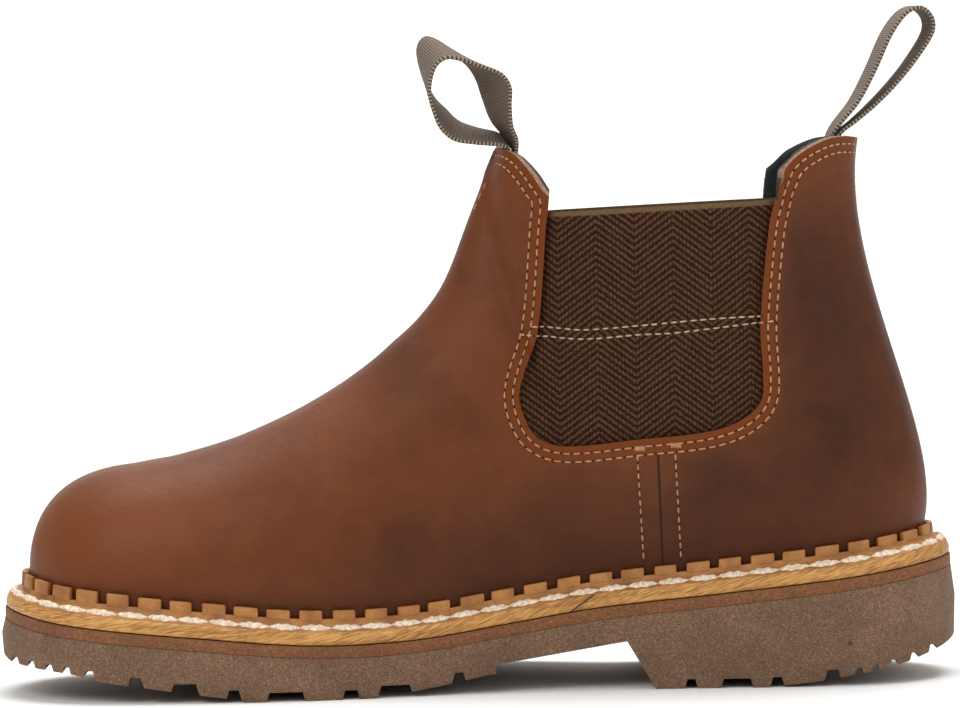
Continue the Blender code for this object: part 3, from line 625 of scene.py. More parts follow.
def makeRubber(name, base, dark, pale, grit):
    # moulded rubber ground with cork and crumb: dull and granular, flecked dark and light
    material, tree, shader = newMaterial(name, Roughness=0.82)
    place = addNode(tree, "TexCoord")["Object"]
    crumb = addNode(tree, "TexVoronoi", {"Vector": place, "Scale": 1 / grit}, feature="F1")
    tint = addNode(tree, "SeparateColor", {0: crumb["Color"]})["Red"]
    haze = addNode(tree, "TexNoise", {"Vector": place, "Scale": 1 / (14 * mm), "Detail": 4.0})["Fac"]
    tintRange = addNode(tree, "MapRange", {0: tint, 1: 0.7, 2: 0.98}, interpolation_type="SMOOTHSTEP")[0]
    tintShare = addNode(tree, "Math", {0: tintRange, 1: 0.55}, operation="MULTIPLY")[0]
    colour = addNode(tree, "Mix", {0: tintShare, 6: hexColour(base), 7: hexColour(pale)},
                     data_type="RGBA")[2]
    tintRange = addNode(tree, "MapRange", {0: tint, 1: 0.28, 2: 0.02}, interpolation_type="SMOOTHSTEP")[0]
    tintShare = addNode(tree, "Math", {0: tintRange, 1: 0.6}, operation="MULTIPLY")[0]
    colour = addNode(tree, "Mix", {0: tintShare, 6: colour, 7: hexColour(dark)}, data_type="RGBA")[2]
    hazeRange = addNode(tree, "MapRange", {0: haze, 1: 0.35, 2: 0.75}, interpolation_type="SMOOTHSTEP")[0]
    hazeShare = addNode(tree, "Math", {0: hazeRange, 1: 0.3}, operation="MULTIPLY")[0]
    colour = addNode(tree, "Mix", {0: hazeShare, 6: colour, 7: hexColour(dark)}, data_type="RGBA")[2]
    tree.links.new(colour, shader.inputs["Base Color"])
    fine = addNode(tree, "TexNoise",
                   {"Vector": place, "Scale": 1 / (grit * 0.8), "Detail": 5.0, "Roughness": 0.7})["Fac"]
    bump = addNode(tree, "Bump", {"Height": fine, "Strength": 0.8, "Distance": 0.45 * mm})
    tree.links.new(bump["Normal"], shader.inputs["Normal"])
    return material


def makeThread(name, pale, deep, ply):
    # waxed twisted polyester thread, with fine plies across it
    material, tree, shader = newMaterial(name, Roughness=0.6)
    place = addNode(tree, "TexCoord")["Object"]
    plies = addNode(tree, "TexNoise", {"Vector": place, "Scale": 1 / ply, "Detail": 3.0})["Fac"]
    pliesRange = addNode(tree, "MapRange", {0: plies, 1: 0.35, 2: 0.65}, interpolation_type="SMOOTHSTEP")[0]
    pliesMixed = addNode(tree, "Mix", {0: pliesRange, 6: hexColour(deep), 7: hexColour(pale)},
                         data_type="RGBA")[2]
    tree.links.new(pliesMixed, shader.inputs["Base Color"])
    bump = addNode(tree, "Bump", {"Height": plies, "Strength": 0.5, "Distance": 0.2 * mm})
    tree.links.new(bump["Normal"], shader.inputs["Normal"])
    return material


def makeFleece(name, base, tip):
    # brushed knit lining: deep and dull, with a soft nap that catches light at its edges
    material, tree, shader = newMaterial(name, Roughness=1.0)
    shader.inputs["Sheen Weight"].default_value = 0.12
    shader.inputs["Sheen Roughness"].default_value = 0.6
    place = addNode(tree, "TexCoord")["Object"]
    nap = addNode(tree, "TexNoise",
                  {"Vector": place, "Scale": 1 / (1.1 * mm), "Detail": 5.0, "Roughness": 0.7})["Fac"]
    napRange = addNode(tree, "MapRange", {0: nap, 1: 0.3, 2: 0.75}, interpolation_type="SMOOTHSTEP")[0]
    napMixed = addNode(tree, "Mix", {0: napRange, 6: hexColour(base), 7: hexColour(tip)},
                       data_type="RGBA")[2]
    tree.links.new(napMixed, shader.inputs["Base Color"])
    bump = addNode(tree, "Bump", {"Height": nap, "Strength": 1.0, "Distance": 0.8 * mm})
    tree.links.new(bump["Normal"], shader.inputs["Normal"])
    return material


# Elastic gores, in metres; the zigzag's sizes are read off the photograph's own weave

gore = {
    "front": 158.3 * mm,        # from the toe end of the sole back to the front bulge
    "top": 144.8 * mm,
    "long": 73.0 * mm,
    "drop": 72.5 * mm,
    "overlap": 8 * mm,
    "thick": 1.6 * mm,
    "peak": 37 * mm,            # x of one peak of the zigzag
    "column": 11.35 * mm,
    "slope": 0.74,
    "pitch": 2.1 * mm,
    "cord": 1.3 * mm,
    "dash": 1.1 * mm,
    "rim": 1.8 * mm,
    "rake": 0.1,                # lean of the leather's edge above the top corners, back per up
    "behind": 0.3 * mm,         # gap to the back of the leather
    "fromMiddle": 4 * mm,
    "spare": 2 * mm,            # more sheet than is needed, before it is cut to shape
    "spareAbove": 0.9 * mm,
    "leastFacing": 0.6,
    "columns": 90,
    "every": 4,                 # every so many fine points make a corner of the hidden edge
}

# edge of the leather round the elastic, front top corner down and round to the rear
goreEdge = (
    (0.133, 0.034), (0.123, 0.104), (0.086, 0.503), (0.022, 0.702), (0.003, 0.808), (0.049, 0.935),
    (0.118, 0.986), (0.230, 1.000), (0.486, 0.975), (0.734, 0.953), (0.885, 0.912), (0.985, 0.828),
    (0.997, 0.705), (0.990, 0.497), (1.030, 0.121), (1.061, 0.000),
)
goreLine = curveThrough([(sole["toe"] + gore["front"] + a * gore["long"], gore["top"] - d * gore["drop"])
                         for a, d in goreEdge], 12)

loops = {
    "wide": 19 * mm,
    "thick": 1.1 * mm,
    "size": 40 * mm,
    "rib": 0.7 * mm,
    "dot": 1.15 * mm,
    "warp": 0.9 * mm,
    "softEdge": 0.35 * mm,
}

leather = makeLeather()
rawEdge = makeCutEdge("rawHideEdge", "#9a7a5e", "#664630")
tanEdge = makeCutEdge("burnishedHideEdge", "#a8642e", "#6e3d1c")
topSlope = (goreLine[-1, 1] - goreLine[0, 1]) / (goreLine[-1, 0] - goreLine[0, 0])
elastic = makeElastic(goreLine[0, 1], topSlope, goreLine[0, 0])
tape = makeWebbing()
weltLeather = makeWeltLeather()
grainEdge = makeGrainEdge()
midRubber = makeRubber("speckledRedRubber", "#80502e", "#552f19", "#a5754c", 0.4 * mm)
outRubber = makeRubber("corkCrumbRubber", "#7a5b43", "#3d2a1c", "#ae9072", 0.3 * mm)
creamThread = makeThread("waxedCreamThread", "#efdfca", "#ccb596", 0.9 * mm)
tanThread = makeThread("tanSewingThread", "#c99a6e", "#9d6d46", 0.35 * mm)
needleHole, _, _ = newMaterial("needleHoleShade", Base_Color=hexColour("#24140c"), Roughness=0.9)
fleece = makeFleece("darkFleece", "#080d0c", "#1a2422")
felt = makeFleece("footbedFelt", "#1c1d1b", "#3a3a36")
print("materials made")


# Upper: a wall pulled over the last, cut for the elastic

upper = {
    "leather": 2.0 * mm,
    "collarHeight": 163 * mm,
    "collarWidth": 78 * mm,
    "rowSteps": 8,
    "levels": 60,
    "band": 0.03,           # share of the sheet's height that stands straight behind the rib
    "softTabFrom": 104 * mm,
    "softTabTo": 45 * mm,
    "softTabTimes": 70,
    "tabRow": 13,           # row of the wall where the front loop is sewn on
    "tabEnd": 17,           # and the one where the front edge of the elastic is reached
    "rearStart": 22,
    "notchAbove": 12 * mm,  # how far the cut for the elastic runs on over its top corners
}

# foot is a share of the feather line, topX and bowX shares of the length, topY and bowY of half
# the collar's width, topZ, up and bowZ of its height, and out of the ball width
wall = (
    (0.000, 0.141, 0.000, 0.4190, 0.006, 0.110, -0.080, 0.00, -0.010),
    (0.012, 0.144, 0.000, 0.4195, 0.012, 0.110, -0.071, 0.28, -0.010),
    (0.050, 0.151, 0.000, 0.4210, 0.022, 0.112, -0.051, 0.49, -0.007),
    (0.105, 0.165, 0.000, 0.4260, 0.032, 0.115, -0.026, 0.64, -0.004),
    (0.170, 0.193, 0.000, 0.4355, 0.046, 0.120, -0.004, 0.72, -0.001),
    (0.250, 0.255, 0.000, 0.4680, 0.054, 0.130, 0.000, 0.72, 0.000),
    (0.325, 0.324, 0.000, 0.5230, 0.057, 0.160, 0.000, 0.70, 0.000),
    (0.395, 0.390, 0.000, 0.5975, 0.053, 0.200, 0.000, 0.65, 0.000),
    (0.455, 0.438, 0.000, 0.6750, 0.046, 0.240, -0.004, 0.60, -0.008),
    (0.500, 0.467, 0.000, 0.7350, 0.042, 0.260, -0.008, 0.58, -0.025),
    (0.535, 0.4845, 0.000, 0.8100, 0.040, 0.260, -0.013, 0.56, -0.055),
    (0.565, 0.500, 0.000, 0.8870, 0.042, 0.250, -0.020, 0.53, -0.090),
    (0.590, 0.516, 0.000, 0.9510, 0.046, 0.245, -0.030, 0.48, -0.125),
    (0.610, 0.527, 0.000, 0.9926, 0.050, 0.240, -0.038, 0.42, -0.155),
    (0.625, 0.534, 0.230, 0.9910, 0.053, 0.230, -0.035, 0.32, -0.185),
    (0.640, 0.547, 0.410, 0.9790, 0.055, 0.225, -0.028, 0.22, -0.210),
    (0.655, 0.563, 0.610, 0.9450, 0.056, 0.220, -0.018, 0.11, -0.235),
    (0.668, 0.577, 0.740, 0.9080, 0.057, 0.215, -0.008, 0.01, -0.250),
    (0.685, 0.594, 0.835, 0.8980, 0.058, 0.210, 0.000, -0.08, -0.265),
    (0.730, 0.645, 0.960, 0.8960, 0.060, 0.200, 0.008, -0.17, -0.275),
    (0.785, 0.703, 1.000, 0.8990, 0.061, 0.190, 0.010, -0.20, -0.280),
    (0.840, 0.762, 0.960, 0.9040, 0.061, 0.180, 0.008, -0.18, -0.280),
    (0.885, 0.815, 0.800, 0.9140, 0.059, 0.170, 0.004, -0.12, -0.265),
    (0.905, 0.824, 0.745, 0.9460, 0.056, 0.165, 0.000, -0.09, -0.255),
    (0.930, 0.843, 0.680, 0.9755, 0.058, 0.162, -0.008, -0.06, -0.245),
    (0.958, 0.873, 0.485, 0.9985, 0.060, 0.160, -0.015, -0.03, -0.240),
    (0.985, 0.899, 0.245, 1.0005, 0.064, 0.165, -0.021, -0.01, -0.240),
    (1.000, 0.9066, 0.000, 0.9985, 0.065, 0.168, -0.024, 0.00, -0.240),
)
wallFine = curveThrough(wall, upper["rowSteps"])
wallPlaces = np.linspace(0, 1, len(wallFine))

# soft troughs (depth under nought) and ridges of the worn-in hide: middle x, middle z,
# half length, half width, turn in degrees, depth, all in millimetres
creases = (
    (-4, 92, 22, 5, -52, -0.5), (6, 84, 24, 5, -48, 0.4), (-22, 76, 20, 5, -40, -0.35),
    (-34, 62, 24, 6, -30, 0.3), (96, 84, 6, 26, 8, -0.4), (104, 62, 14, 10, 0, 0.4),
    (-74, 44, 20, 7, -20, 0.3), (24, 56, 20, 6, -35, -0.35),
)

# darker and lighter patches of the hide: middle x, middle z, half length, half width, turn, darkness
tones = (
    (-22, 100, 34, 13, -42, 0.26), (8, 112, 24, 14, -50, 0.16), (24, 62, 34, 18, -20, 0.16),
    (-60, 60, 34, 10, -24, 0.10), (-104, 50, 26, 14, 0, -0.22), (-125, 42, 14, 14, 0, -0.18),
    (-96, 33, 26, 8, 0, 0.14), (108, 94, 32, 54, 8, 0.58), (80, 56, 28, 18, 0, 0.34),
    (36, 48, 22, 16, 0, 0.20), (-12, 42, 34, 15, 0, 0.42), (2, 140, 7, 16, 10, -0.06),
)


# painted shade: the hide darkens and warms down to the welt, most at the waist where it tucks under;
# it is also warmer along its cut edges; lengths in millimetres
shade = {
    "waistAt": 40,
    "waistLong": 56,
    "shadeNearWelt": ((0.30, 0.35, 4.5), (0.10, 0.22, 20)),     # all round, more at the waist, how high
    "warmEdge": 5.2,
    "warmShadeFoot": 0.35,
    "warmShadeFootHigh": 26,
}


def softSpots(x, z, spots):
    total = np.zeros(len(x))
    for midX, midZ, longWay, wideWay, turn, amount in spots:
        angle = math.radians(turn)
        dx = x / mm - midX
        dz = z / mm - midZ
        along = dx * math.cos(angle) + dz * math.sin(angle)
        across = -dx * math.sin(angle) + dz * math.cos(angle)
        total += amount * np.exp(-(along / longWay) ** 2 - (across / wideWay) ** 2)
    return total


def wallPlace(side):
    loop = outline + inward * featherInset
    picks = np.arange(half + 1) if side < 0 else -np.arange(half + 1) % len(loop)
    line = loop[picks]
    outward = -inward[picks]

    def place(flat):
        rows = readAt(flat[:, 0], wallPlaces, wallFine)
        foot, topX, topY, topZ, out, up, bowX, bowY, bowZ = rows.T
        x = line[0, 0] + foot * (line[-1, 0] - line[0, 0])
        point = np.column_stack([x, np.interp(x, line[:, 0], line[:, 1])])
        normal = readAt(x, line[:, 0], outward)
        normal /= np.linalg.norm(normal, axis=1)[:, None]
        reach = upper["collarWidth"] / 2
        high = upper["collarHeight"]
        start = np.column_stack([point, edgeHeight(x) + ribTop + sole["gap"]])
        end = np.column_stack([soleX(topX), axisY + side * topY * reach, topZ * high])
        lift = start + np.column_stack([normal * (out * sole["ballWidth"])[:, None], up * high])
        bow = end + np.column_stack([bowX * sole["length"], side * bowY * reach, bowZ * high])
        t = np.clip((flat[:, 1] - upper["band"]) / (1 - upper["band"]), 0, 1)[:, None]
        spots = (1 - t) ** 3 * start + 3 * (1 - t) ** 2 * t * lift + 3 * (1 - t) * t ** 2 * bow + t ** 3 * end
        drop = np.clip(1 - flat[:, 1] / upper["band"], 0, 1)
        spots[:, 2] -= drop * (start[:, 2] - insideFloor(x))
        return spots

    return place


def wallSurface(folded=True):
    bm = bmesh.new()
    for side in (-1, 1):
        part = unitGrid((len(wall) - 1) * upper["rowSteps"], upper["levels"])
        bend(part, wallPlace(side))
        if side > 0:
            bmesh.ops.reverse_faces(part, faces=part.faces)
        addTo(bm, part)
    bmesh.ops.remove_doubles(bm, verts=bm.verts, dist=0.02 * mm)
    bmesh.ops.dissolve_degenerate(bm, edges=bm.edges, dist=0.02 * mm)
    bm.normal_update()
    if sum(face.normal.y * face.calc_center_median().y for face in bm.faces) < 0:
        bmesh.ops.reverse_faces(bm, faces=bm.faces)
        bm.normal_update()
    tab = [v for v in bm.verts if not v.is_boundary
           and v.co.z > upper["softTabFrom"] and v.co.x < upper["softTabTo"]]
    for _ in range(upper["softTabTimes"]):
        bmesh.ops.smooth_vert(bm, verts=tab, factor=0.5, use_axis_x=True, use_axis_y=True, use_axis_z=True)
    bm.normal_update()
    if folded:
        spots = np.array([v.co[:] for v in bm.verts])
        depth = softSpots(spots[:, 0], spots[:, 2], creases) * mm
        for vert, rise in zip(bm.verts, depth):
            vert.co += vert.normal * rise
    return bm


outerSurface = wallSurface()
outerTree = BVHTree.FromBMesh(outerSurface)
print("wall surface bent over the last")


def goreTop(x):
    return goreLine[0, 1] + (x - goreLine[0, 0]) * topSlope


def goreOutline(grow, above):
    # the edge of the leather, moved out behind it by grow and run on above its top corners
    if not grow:
        rise = (above * gore["rake"], above)
        return [tuple(goreLine[0] + rise), *map(tuple, goreLine), tuple(goreLine[-1] + rise)]
    coarse = goreLine[::gore["every"]]
    tangent = np.gradient(coarse, axis=0)
    tangent /= np.linalg.norm(tangent, axis=1)[:, None]
    grown = coarse + np.column_stack([tangent[:, 1], -tangent[:, 0]]) * grow
    grown[[0, -1], 1] = goreTop(grown[[0, -1], 0])
    under = grown[:, 1] < goreTop(grown[:, 0]) - 0.5 * mm
    under[[0, -1]] = True
    grown = grown[under]
    if above:
        return [tuple(grown[0] + (0, above)), *map(tuple, grown), tuple(grown[-1] + (0, above))]
    return list(map(tuple, grown))


def solidWall(name, depth, thick, materials, nodes=(), rim=None, keep=None):
    bm = outerSurface.copy()
    if keep:
        spare = [face for face in bm.faces if not keep(face.calc_center_median())]
        bmesh.ops.delete(bm, geom=spare, context="FACES")
    piece = addPiece(name, bm, materials, nodes, merge=0, turn=False, smoothAngle=50)
    if depth:
        sink = piece.modifiers.new("sink", "DISPLACE")
        sink.direction = "NORMAL"
        sink.mid_level = 0.0
        sink.strength = -depth
    solid = piece.modifiers.new("wall", "SOLIDIFY")
    solid.thickness = thick
    solid.offset = -1.0
    solid.use_even_offset = True
    solid.use_quality_normals = True
    if rim is not None:
        solid.material_offset_rim = rim
    applyModifiers(piece)
    return piece


def paintLeather(mesh):
    # the listed tones, painted shade that darkens and warms the hide down to the welt, and warm wax along the
    # cut edges, stored on the points of the hide
    spots = np.zeros(len(mesh.vertices) * 3)
    mesh.vertices.foreach_get("co", spots)
    spots = spots.reshape(-1, 3)
    x, z = spots[:, 0], spots[:, 2]
    tone = softSpots(x, z, tones)
    over = np.clip((z - edgeHeight(x) - ribTop) / mm, 0, None)
    waist = np.exp(-((x / mm - shade["waistAt"]) / shade["waistLong"]) ** 2)
    # painted shade: darker down to the welt, most at the waist
    for allRound, more, high in shade["shadeNearWelt"]:
        tone += (allRound + more * waist) * np.exp(-over / high)
    edge = np.full(len(x), 1.0)
    for px, pz in stitchedEdge[::3]:
        edge = np.minimum(edge, np.hypot(x - px, z - pz))
    warm = np.exp(-(edge / (shade["warmEdge"] * mm)) ** 4)
    # painted shade: a warmer, deeper colour low down by the welt
    warm += shade["warmShadeFoot"] * np.exp(-over / shade["warmShadeFootHigh"])
    for name, values in (("tone", tone), ("warm", warm)):
        layer = mesh.attributes.new(name, "FLOAT", "POINT")
        layer.data.foreach_set("value", values.astype(np.float32))


def sideCorners():
    # edge of the leather from the front tab's middle, down round the elastic and up to the back
    steps = upper["rowSteps"]
    front = wallFine[upper["tabRow"] * steps:upper["tabEnd"] * steps + 6]
    back = wallFine[upper["rearStart"] * steps:]
    frontLine = np.column_stack([soleX(front[:, 1]), front[:, 3] * upper["collarHeight"]])
    backLine = np.column_stack([soleX(back[:, 1]), back[:, 3] * upper["collarHeight"]])
    frontLine = frontLine[frontLine[:, 0] < goreLine[0, 0] + 0.3 * mm]
    backLine = backLine[backLine[:, 0] > goreLine[-1, 0] + 0.3 * mm]
    return np.concatenate([frontLine, goreLine, backLine])


def evenly(points, step):
    points = np.asarray(points, float)
    run = np.concatenate([[0.0], np.cumsum(np.linalg.norm(np.diff(points, axis=0), axis=1))])
    count = max(2, int(round(run[-1] / step)) + 1)
    return readAt(np.linspace(0, run[-1], count), run, points)


def smoothLine(points, times):
    points = points.copy()
    for _ in range(times):
        points[1:-1] = (points[:-2] + 2 * points[1:-1] + points[2:]) / 4
    return points


stitchedEdge = smoothLine(evenly(sideCorners(), 1.0 * mm), 4)


def makeUpper():
    piece = solidWall("leather_upper", 0.0, upper["leather"], [leather, rawEdge, tanEdge],
                      ["upper"], rim=1)
    cutWith(piece, straightCutter("goreNotch", goreOutline(0, upper["notchAbove"]), material=tanEdge))
    smoothUpTo(piece.data, 50)
    paintLeather(piece.data)
    return piece


makeUpper()
print("upper cut")


def castOnSide(x, z, side):
    start = Vector((x, side * rayFrom, z))
    spot, normal, _, _ = outerTree.ray_cast(start, Vector((0, -side, 0)))
    if spot is None:
        return None
    return (spot, -normal if normal.y * side < 0 else normal)


def makeGore(name, node, side):
    # a sheet laid on the hide from the side, moved in behind the leather and cut to its shape
    low = goreLine.min(axis=0) - gore["overlap"] - gore["spare"]
    high = goreLine.max(axis=0) + (gore["overlap"] + gore["spare"], gore["spareAbove"])
    bm = unitGrid(gore["columns"], gore["columns"])

    def place(flat):
        spots = []
        for x, z in low + flat[:, :2] * (high - low):
            hit = castOnSide(x, z, side)
            away = (upper["leather"] + gore["behind"]) / max(abs(hit[1].y), gore["leastFacing"])
            spots.append((x, hit[0].y - side * away, z))
        return spots

    bend(bm, place)
    if side > 0:
        bmesh.ops.reverse_faces(bm, faces=bm.faces)
    bm.normal_update()
    if sum(face.normal.y for face in bm.faces) * side < 0:
        bmesh.ops.reverse_faces(bm, faces=bm.faces)
    piece = addPiece(name, bm, [elastic], [node], merge=0, turn=False, smoothAngle=50)
    solid = piece.modifiers.new("band", "SOLIDIFY")
    solid.thickness = gore["thick"]
    solid.offset = -1.0
    solid.use_even_offset = True
    applyModifiers(piece)
    ends = sorted((axisY + side * gore["fromMiddle"], axisY + side * halfReach))
    shape = straightCutter(name + "Shape", goreOutline(gore["overlap"], 0), *ends)
    cutWith(piece, shape, "INTERSECT", solver="MANIFOLD")
    smoothUpTo(piece.data, 50)


makeGore("elastic_gore_medial", "gore_medial", -1)
makeGore("elastic_gore_lateral", "gore_lateral", 1)
print("elastic set behind the leather")


lining = {
    "thick": 1.1 * mm,
    "foot": 4 * mm,             # from the top of the rib up to the lining's lower edge
    "gap": 0.08 * mm,
    "clear": 0.3 * mm,          # round the hidden edge of the elastic
    "notchAbove": 20 * mm,
}


def makeLining():
    # knit fleece behind the leather, left out behind the elastic
    def keep(spot):
        return spot.z > edgeHeight(spot.x) + ribTop + lining["foot"]

    depth = upper["leather"] + lining["gap"]
    piece = solidWall("fleece_lining", depth, lining["thick"], [fleece], keep=keep)
    behindElastic = goreOutline(gore["overlap"] + lining["clear"], 0)
    for shape in (behindElastic, goreOutline(0, lining["notchAbove"])):
        cutWith(piece, straightCutter("liningNotch", shape), solver="MANIFOLD")
    piece.data.shade_smooth()


makeLining()
print("lining fitted")


# Rows of stitches, laid on the hide by rays from the side

def insideGore(x, z):
    # true over the elastic, between the leather's front and rear edges at this height
    lowest = int(goreLine[:, 1].argmin())
    front, rear = goreLine[:lowest][::-1], goreLine[lowest:]
    if z < goreLine[lowest, 1]:
        return False
    return np.interp(z, front[:, 1], front[:, 0]) < x < np.interp(z, rear[:, 1], rear[:, 0])


def laidLine(points, side):
    laid = []
    for x, z in evenly(points, 0.8 * mm):
        hit = castOnSide(x, z, side)
        if hit:
            sink = upper["leather"] + gore["behind"] if insideGore(x, z) else 0.0
            laid.append((*(hit[0] - hit[1] * sink), *hit[1]))
    return np.array(laid)


def sewRow(threadMesh, holeMesh, points, side, pitch=None):
    pitch = pitch or threads["pitch"]
    laid = laidLine(points, side)
    run = np.concatenate([[0.0], np.cumsum(np.linalg.norm(np.diff(laid[:, :3], axis=0), axis=1))])
    count = int(run[-1] / pitch)
    for i in range(count):
        middle = (i + 0.5) * pitch + random.uniform(-0.12, 0.12) * mm
        ends = readAt(np.array([middle - 0.5 * mm, middle, middle + 0.5 * mm, (i + 1.0) * pitch]), run, laid)
        along = Vector(ends[2, :3] - ends[0, :3]).normalized()
        up = Vector(ends[1, 3:])
        across = along.cross(up).normalized()
        up = across.cross(along)
        turn = Matrix((across, up, along)).transposed().to_4x4()
        grow = random.uniform(0.92, 1.08)
        size = Matrix.Diagonal((threads["wide"], threads["high"] * 2, threads["long"] * grow * pitch
                                / threads["pitch"], 1))
        spot = Vector(ends[1, :3]) + up * 0.05 * mm
        bmesh.ops.create_uvsphere(threadMesh, u_segments=6, v_segments=5, radius=0.5,
                                  matrix=Matrix.Translation(spot) @ turn @ size)
        hole = Matrix.Diagonal((threads["hole"] * 1.3, 0.25 * mm, threads["hole"] * 1.5, 1))
        bmesh.ops.create_uvsphere(holeMesh, u_segments=6, v_segments=4, radius=0.5,
                                  matrix=Matrix.Translation(Vector(ends[3, :3])) @ turn @ hole)


def sewTack(threadMesh, x, z, side):
    # a bar of upright stitches side by side, which locks the end of a row
    count = threads["tackBars"]
    for i in range(count):
        hit = castOnSide(x + (i / (count - 1) - 0.5) * threads["tackWide"], z, side)
        if hit:
            up = Vector(hit[1])
            along = (Vector((0, 0, 1)) - up * up.z).normalized()
            turn = Matrix((along.cross(up), up, along)).transposed().to_4x4()
            size = Matrix.Diagonal((threads["wide"], threads["high"] * 2.4, threads["long"] * 0.8, 1))
            bmesh.ops.create_uvsphere(threadMesh, u_segments=6, v_segments=5, radius=0.5,
                                      matrix=Matrix.Translation(hit[0] + up * 0.1 * mm) @ turn @ size)


def sewRidge(threadMesh, ends, towards):
    # a few stitches down the middle ridge, found by rays from in front of it or behind it
    (x, high), (_, low) = ends
    count = int((high - low) * mm / threads["pitch"]) + 1
    for side in (-1, 1):
        for i in range(count):
            z = high * mm - i * threads["pitch"]
            start = Vector((x * mm, axisY + side * threads["ridgeReach"], z))
            spot, up, _, _ = outerTree.ray_cast(start, Vector((towards, 0, 0)))
            if spot:
                up = -up if up.x * towards > 0 else up
                along = (Vector((0, 0, 1)) - up * up.z).normalized()
                turn = Matrix((along.cross(up), up, along)).transposed().to_4x4()
                size = Matrix.Diagonal((threads["wide"], threads["high"] * 1.5, threads["long"], 1))
                bmesh.ops.create_uvsphere(threadMesh, u_segments=6, v_segments=5, radius=0.5,
                                          matrix=Matrix.Translation(spot) @ turn @ size)


def offsetLine(points, distance):
    tangent = np.gradient(points, axis=0)
    tangent /= np.linalg.norm(tangent, axis=1)[:, None]
    moved = points + np.column_stack([tangent[:, 1], -tangent[:, 0]]) * distance
    return smoothLine(moved, 3)


def makeStitches():
    tanMesh, creamMesh, holeMesh = bmesh.new(), bmesh.new(), bmesh.new()
    for side in (-1, 1):
        for inset in threads["borderInsets"]:
            sewRow(tanMesh, holeMesh, offsetLine(stitchedEdge, inset), side)
        for row in threads["seamRows"]:
            sewRow(tanMesh, holeMesh, np.array(row) * mm, side, pitch=threads["seamPitch"])
        for x, z in threads["tacks"]:
            sewTack(tanMesh, x * mm, z * mm, side)
        for row in threads["goreRows"]:
            sewRow(creamMesh, holeMesh, curveThrough(np.array(row) * mm, 6), side, pitch=threads["gorePitch"])
    sewRidge(tanMesh, threads["tabRow"], 1)
    sewRidge(tanMesh, threads["backRow"], -1)
    addPiece("border_stitches", tanMesh, [tanThread], merge=0, turn=False)
    addPiece("gore_stitches", creamMesh, [makeThread("paleSewingThread", "#cbb291", "#a58a68", 0.35 * mm)],
             merge=0, turn=False)
    addPiece("needle_holes", holeMesh, [needleHole], merge=0, turn=False)


makeStitches()
print("seams sewn")


# Sole layers

def closedStrip(name, profile, columns, materials, nodes, uvName=None, pick=None, smoothAngle=40):
    # a closed profile of insets and rises swept round the sole
    profile = np.asarray(profile, float)
    count = len(profile)
    bm = unitGrid(columns, count)
    known = np.arange(count + 1) / count
    ring = np.concatenate([profile, profile[:1]])
    if uvName:
        layer = bm.loops.layers.uv.new(uvName)
        for face in bm.faces:
            for loop in face.loops:
                at = np.interp(loop.vert.co.y, known, ring[:, 1])
                loop[layer].uv = (loop.vert.co.x * ribLength, at)
    if pick:
        for face in bm.faces:
            middle = face.calc_center_median()
            face.material_index = pick(min(int(middle.y * count), count - 1))
    bend(bm, lambda flat: roundTheSole(np.column_stack([
        flat[:, 0] * ribLength * (1 - 1e-9), readAt(flat[:, 1], known, ring)])))
    return addPiece(name, bm, materials, nodes, smoothAngle=smoothAngle)


def makeWelt():
    w = welt
    inner = ribInset + w["ribLean"] + w["ribThick"]
    edgeTop = w["edgeInset"] + w["edgeDraft"]
    profile = (
        (inner, -w["edge"]), (w["edgeInset"] + 0.4 * mm, -w["edge"]),
        (w["edgeInset"], -w["edge"] + 0.35 * mm),
        (w["edgeInset"] + 0.1 * mm, -w["edge"] * 0.5), (edgeTop - 0.1 * mm, -0.9 * mm),
        (edgeTop + 0.05 * mm, -0.35 * mm), (edgeTop + 0.45 * mm, 0.05 * mm),
        (edgeTop + 1.2 * mm, 0.45 * mm), (edgeTop + 2.0 * mm, 0.72 * mm), (edgeTop + 3.0 * mm, 1.25 * mm),
        (ribInset, w["shelfRise"]), (ribInset + 0.2 * mm, w["shelfRise"] + w["ribFloor"]),
        (inner, w["shelfRise"] + w["ribFloor"]),
    )
    closedStrip("welt_strip", profile, 560, [weltLeather, grainEdge], ["welt"], uvName="run",
                pick=lambda row: 1 if 1 <= row <= 4 else 0, smoothAngle=60)


def makeRib():
    w = welt
    count = round(ribLength / w["ribPitch"])
    pitch = ribLength / count
    bm = bmesh.new()
    for i in range(count):
        long = pitch * w["ribBlock"] * random.uniform(0.94, 1.05)
        middle = (i + 0.5) * pitch + random.uniform(-0.3, 0.3) * mm
        low = w["shelfRise"] + w["ribFloor"] * 0.4
        fromToe = min(middle, ribLength - middle)
        lift = w["toeLift"] * math.exp(-(fromToe / (60 * mm)) ** 2)
        high = ribTop + lift + random.uniform(-0.15, 0.15) * mm
        block = bmesh.new()
        bmesh.ops.create_cube(block, size=1.0)
        bmesh.ops.scale(block, verts=block.verts, vec=(long, w["ribThick"], high - low))
        bmesh.ops.bevel(block, geom=list(block.edges), offset=0.45 * mm, segments=2, profile=0.5,
                        affect="EDGES", material=-1, clamp_overlap=True)
        for cut in (-0.25, 0.0, 0.25):
            bmesh.ops.bisect_plane(block, geom=[*block.verts, *block.edges, *block.faces],
                                   plane_co=(cut * long, 0, 0), plane_no=(1, 0, 0))
        bmesh.ops.translate(block, verts=block.verts,
                            vec=(middle, ribInset + w["ribThick"] / 2, (high + low) / 2))
        for vert in block.verts:
            vert.co.y += w["ribLean"] * (vert.co.z - low) / (high - low)
        addTo(bm, block)
    bend(bm, roundTheSole)
    addPiece("welt_rib_blocks", bm, [weltLeather], merge=0, smoothAngle=50)


